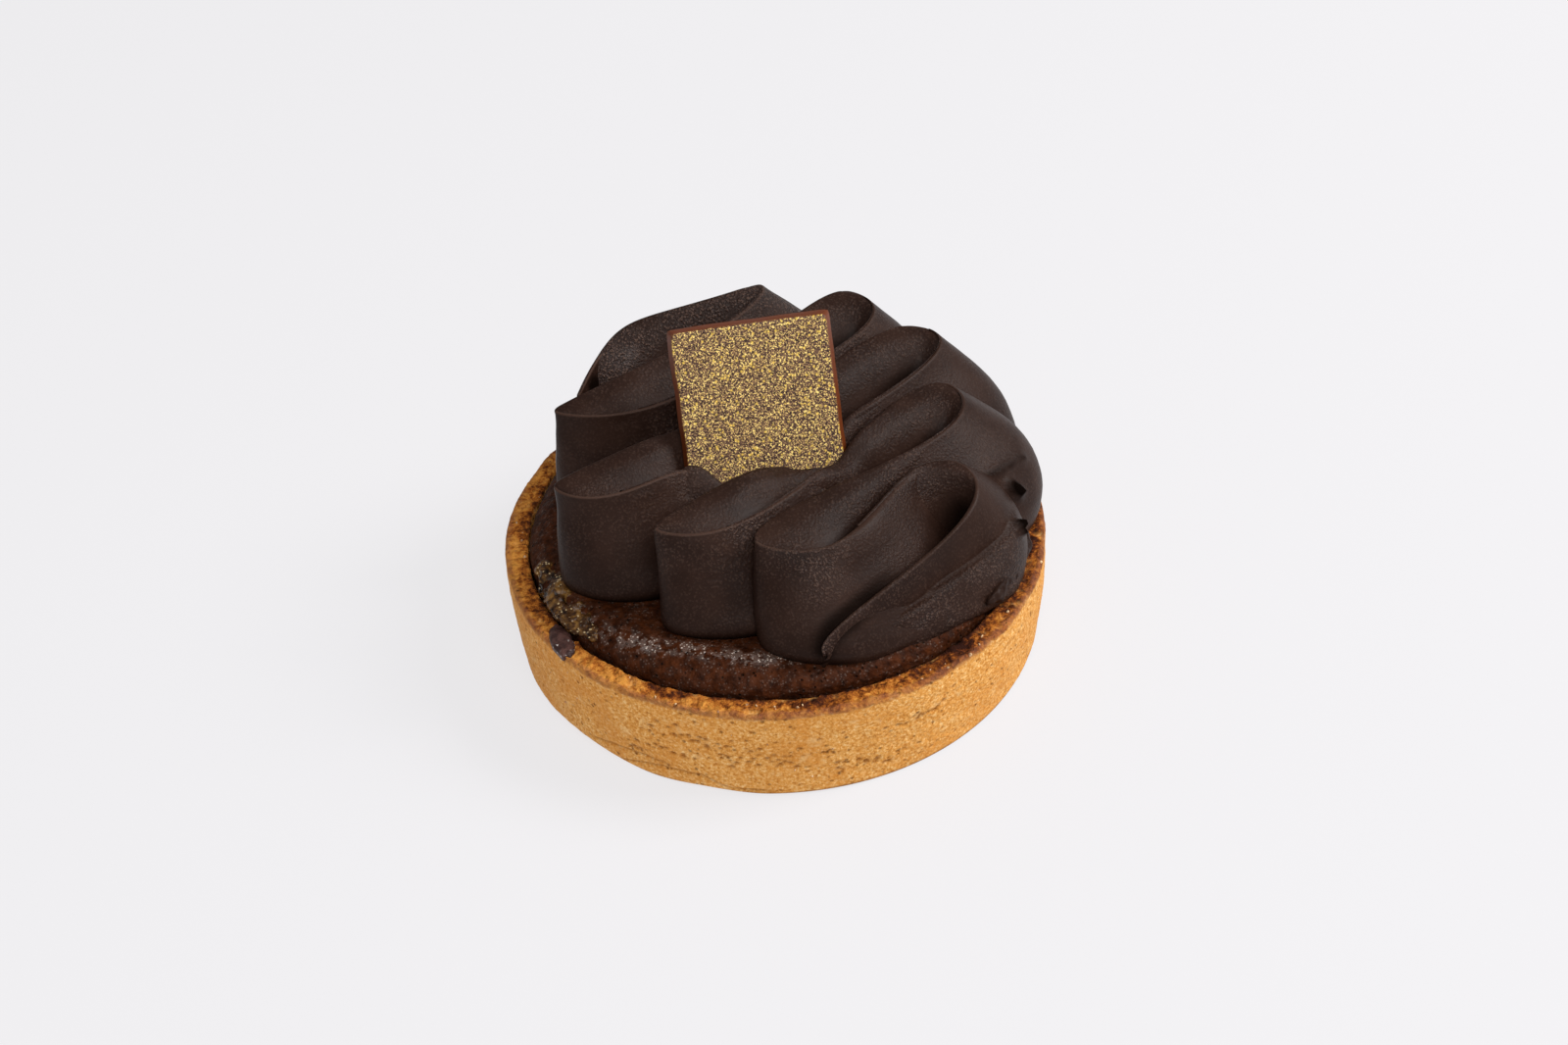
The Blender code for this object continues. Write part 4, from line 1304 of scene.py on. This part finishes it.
@dataclass
class CrumbScatter:
    """Crumbs strewn over a host mesh by Geometry Nodes."""

    name: str
    density: float
    smallest: float
    largest: float
    seed: int
    lowest: float
    inner: float = 0.0

    def tree(self) -> tuple[bpy.types.NodeTree, dict[str, str]]:
        """Return the node tree and the identifiers of its inputs by name."""
        tree = bpy.data.node_groups.new(self.name + "_nodes", "GeometryNodeTree")
        tree.interface.new_socket("Geometry", in_out="INPUT", socket_type="NodeSocketGeometry")
        names = {}
        for label, kind in (("Density", "NodeSocketFloat"), ("Smallest", "NodeSocketFloat"), ("Largest", "NodeSocketFloat"),
                            ("Lowest", "NodeSocketFloat"), ("Inner Radius", "NodeSocketFloat"), ("Seed", "NodeSocketInt"),
                            ("Finish", "NodeSocketMaterial")):
            names[label] = tree.interface.new_socket(label, in_out="INPUT", socket_type=kind).identifier
        tree.interface.new_socket("Geometry", in_out="OUTPUT", socket_type="NodeSocketGeometry")
        given, out = tree.nodes.new("NodeGroupInput"), tree.nodes.new("NodeGroupOutput")
        graph = Graph(tree)
        place = graph.node("GeometryNodeInputPosition").outputs[0]
        parts = graph.node("ShaderNodeSeparateXYZ", {0: place})
        flat = graph.node("ShaderNodeCombineXYZ", {0: parts.outputs["X"], 1: parts.outputs["Y"]}).outputs[0]
        radius = graph.node("ShaderNodeVectorMath", {0: flat}, operation="LENGTH").outputs["Value"]
        high = graph.node("FunctionNodeCompare", {0: parts.outputs["Z"], 1: given.outputs["Lowest"]}, operation="GREATER_THAN").outputs[0]
        wide = graph.node("FunctionNodeCompare", {0: radius, 1: given.outputs["Inner Radius"]}, operation="GREATER_THAN").outputs[0]
        both = graph.node("FunctionNodeBooleanMath", {0: high, 1: wide}, operation="AND").outputs[0]
        points = graph.node("GeometryNodeDistributePointsOnFaces",
                            {"Mesh": given.outputs["Geometry"], "Selection": both, "Density": given.outputs["Density"],
                             "Seed": given.outputs["Seed"]}, distribute_method="RANDOM")
        grain = graph.node("GeometryNodeMeshIcoSphere", {"Radius": 1.0, "Subdivisions": 2}).outputs["Mesh"]
        size = graph.node("FunctionNodeRandomValue", {"Seed": given.outputs["Seed"]}, data_type="FLOAT")
        graph.feed(size.inputs[2], given.outputs["Smallest"])
        graph.feed(size.inputs[3], given.outputs["Largest"])
        spin = graph.node("FunctionNodeRandomValue", {"Seed": 7}, data_type="FLOAT_VECTOR")
        spin.inputs[0].default_value, spin.inputs[1].default_value = (0, 0, 0), (6.28, 6.28, 6.28)
        stretch = graph.node("FunctionNodeRandomValue", {"Seed": 9}, data_type="FLOAT_VECTOR")
        stretch.inputs[0].default_value, stretch.inputs[1].default_value = (0.7, 0.55, 0.4), (1.2, 1.0, 0.8)
        scale = graph.node("ShaderNodeVectorMath", {0: stretch.outputs[0], 3: size.outputs[1]}, operation="SCALE").outputs[0]
        placed = graph.node("GeometryNodeInstanceOnPoints", {"Points": points.outputs["Points"], "Instance": grain,
                                                             "Rotation": spin.outputs[0], "Scale": scale}).outputs[0]
        real = graph.node("GeometryNodeRealizeInstances", {"Geometry": placed}).outputs[0]
        dressed = graph.node("GeometryNodeSetMaterial", {"Geometry": real, "Material": given.outputs["Finish"]}).outputs[0]
        graph.feed(out.inputs[0], dressed)
        return tree, names

    def build(self, host: bpy.types.Object, finish: bpy.types.Material) -> bpy.types.Object:
        """Strew the crumbs and return them as a plain mesh.

        Args:
            host: the piece that they lie on.
            finish: their material.

        Returns:
            The crumbs' object.
        """
        tree, names = self.tree()
        carrier = bpy.data.objects.new(self.name + "_carrier", host.data.copy())
        bpy.context.scene.collection.objects.link(carrier)
        modifier = carrier.modifiers.new("crumbs", "NODES")
        modifier.node_group = tree
        for label, value in (("Density", self.density), ("Smallest", self.smallest * MM), ("Largest", self.largest * MM),
                             ("Lowest", self.lowest * MM), ("Inner Radius", self.inner * MM), ("Seed", self.seed),
                             ("Finish", finish)):
            modifier[names[label]] = value
        graph = bpy.context.evaluated_depsgraph_get()
        mesh = bpy.data.meshes.new_from_object(carrier.evaluated_get(graph), depsgraph=graph)
        carrier.modifiers.remove(modifier)
        bpy.data.objects.remove(carrier)
        mesh.name = self.name
        mesh.shade_smooth()
        made = bpy.data.objects.new(self.name, mesh)
        bpy.context.scene.collection.objects.link(made)
        return made


# ---------------------------------------------------------------- studio


@dataclass
class Studio:
    """Camera, pale floor and soft light."""

    eye: tuple = (0.0, -0.2455, 0.22261)
    right: tuple = (0.99829176, -0.04067484, -0.04194197)
    up: tuple = (0.05827565, 0.64177504, 0.76467558)
    forward: tuple = (0.00418575, 0.76581353, -0.64304908)
    lens: float = 50.0
    sensor: float = 36.0
    floor_tone: Tone = Tone(104, 102, 104)
    floor_glow: float = 0.72
    world_strength: float = 0.3

    def camera(self) -> None:
        """Place the camera."""
        data = bpy.data.cameras.new("camera")
        data.lens, data.sensor_width, data.clip_start = self.lens, self.sensor, 0.01
        made = bpy.data.objects.new("camera", data)
        bpy.context.scene.collection.objects.link(made)
        right, up, ahead = Vector(self.right), Vector(self.up), Vector(self.forward)
        made.matrix_world = Matrix(((right.x, up.x, -ahead.x, self.eye[0]), (right.y, up.y, -ahead.y, self.eye[1]),
                                    (right.z, up.z, -ahead.z, self.eye[2]), (0, 0, 0, 1)))
        bpy.context.scene.camera = made

    def floor(self) -> None:
        """Lay the floor."""
        mesh = bpy.data.meshes.new("floor")
        mesh.from_pydata([(-3, -3, 0), (3, -3, 0), (3, 3, 0), (-3, 3, 0)], [], [(0, 1, 2, 3)])
        material = bpy.data.materials.new("floor")
        material.use_nodes = True
        shader = material.node_tree.nodes["Principled BSDF"]
        shader.inputs["Base Color"].default_value = self.floor_tone.linear()
        shader.inputs["Roughness"].default_value = 0.7
        shader.inputs["Specular IOR Level"].default_value = 0.1
        shader.inputs["Emission Color"].default_value = (0.99, 0.985, 1.0, 1.0)
        shader.inputs["Emission Strength"].default_value = self.floor_glow
        mesh.materials.append(material)
        made = bpy.data.objects.new("floor", mesh)
        bpy.context.scene.collection.objects.link(made)

    def softbox(self, name: str, place: tuple, aim: tuple, size: tuple, power: float) -> None:
        """Hang a rectangular light.

        Args:
            name: the light's name.
            place: where it hangs, in metres.
            aim: the point that it faces.
            size: its width and height.
            power: in watts.
        """
        data = bpy.data.lights.new(name, "AREA")
        data.shape, data.size, data.size_y, data.energy = "RECTANGLE", size[0], size[1], power
        made = bpy.data.objects.new(name, data)
        made.location = place
        made.rotation_euler = (Vector(aim) - Vector(place)).to_track_quat("-Z", "Y").to_euler()
        bpy.context.scene.collection.objects.link(made)

    def light(self) -> None:
        """Set the world's fill and the softboxes."""
        world = bpy.data.worlds.new("studio")
        world.use_nodes = True
        back = world.node_tree.nodes["Background"]
        back.inputs["Color"].default_value = (0.985, 0.985, 1.0, 1.0)
        back.inputs["Strength"].default_value = self.world_strength
        bpy.context.scene.world = world
        self.softbox("key", (0.85, 0.05, 0.75), (0, 0, 0.02), (0.5, 0.5), 11.5)
        self.softbox("front", (0.1, -0.75, 0.95), (0, 0, 0.02), (0.8, 0.6), 7.5)
        bpy.context.scene.view_settings.view_transform = "Standard"

    def build(self) -> None:
        """Set up the whole studio."""
        self.camera()
        self.floor()
        self.light()


def main() -> None:
    """Build every piece of the tart in order, and its studio."""
    logging.basicConfig(level=logging.INFO, format="%(name)s %(message)s")
    Studio().build()
    effects = Effects()
    crust = CrustCase().build(ShortcrustFinish().build(effects))
    declare(crust, "crust")
    filling = Filling().build(BakedChocolateFinish().build(effects))
    declare(filling, "filling")
    ganache = GanacheRibbon().build(GanacheFinish().build(effects))
    declare(ganache, "ganache")
    square = ChocolateSquare().build(GoldDustFinish().build(effects))
    declare(square, "chocolate_square")
    seep = NutCreamSeep().build(NutCreamFinish().build(effects))
    declare(seep, "nut_cream")
    spot = BurntSpot().build(BurntSpotFinish().build(effects))
    declare(spot)
    crumbs = CrumbScatter("rim_crumbs", 90000.0, 0.1, 0.34, 3, 15.9, 36.1).build(crust, CrumbFinish(brown=Tone(120, 66, 30)).build("rim_crumbs", effects))
    declare(crumbs)
    dust = CrumbScatter("side_crumbs", 12000.0, 0.08, 0.22, 4, 1.0, 38.0).build(crust, CrumbFinish().build("side_crumbs", effects))
    declare(dust)


if __name__ == "__main__":
    main()
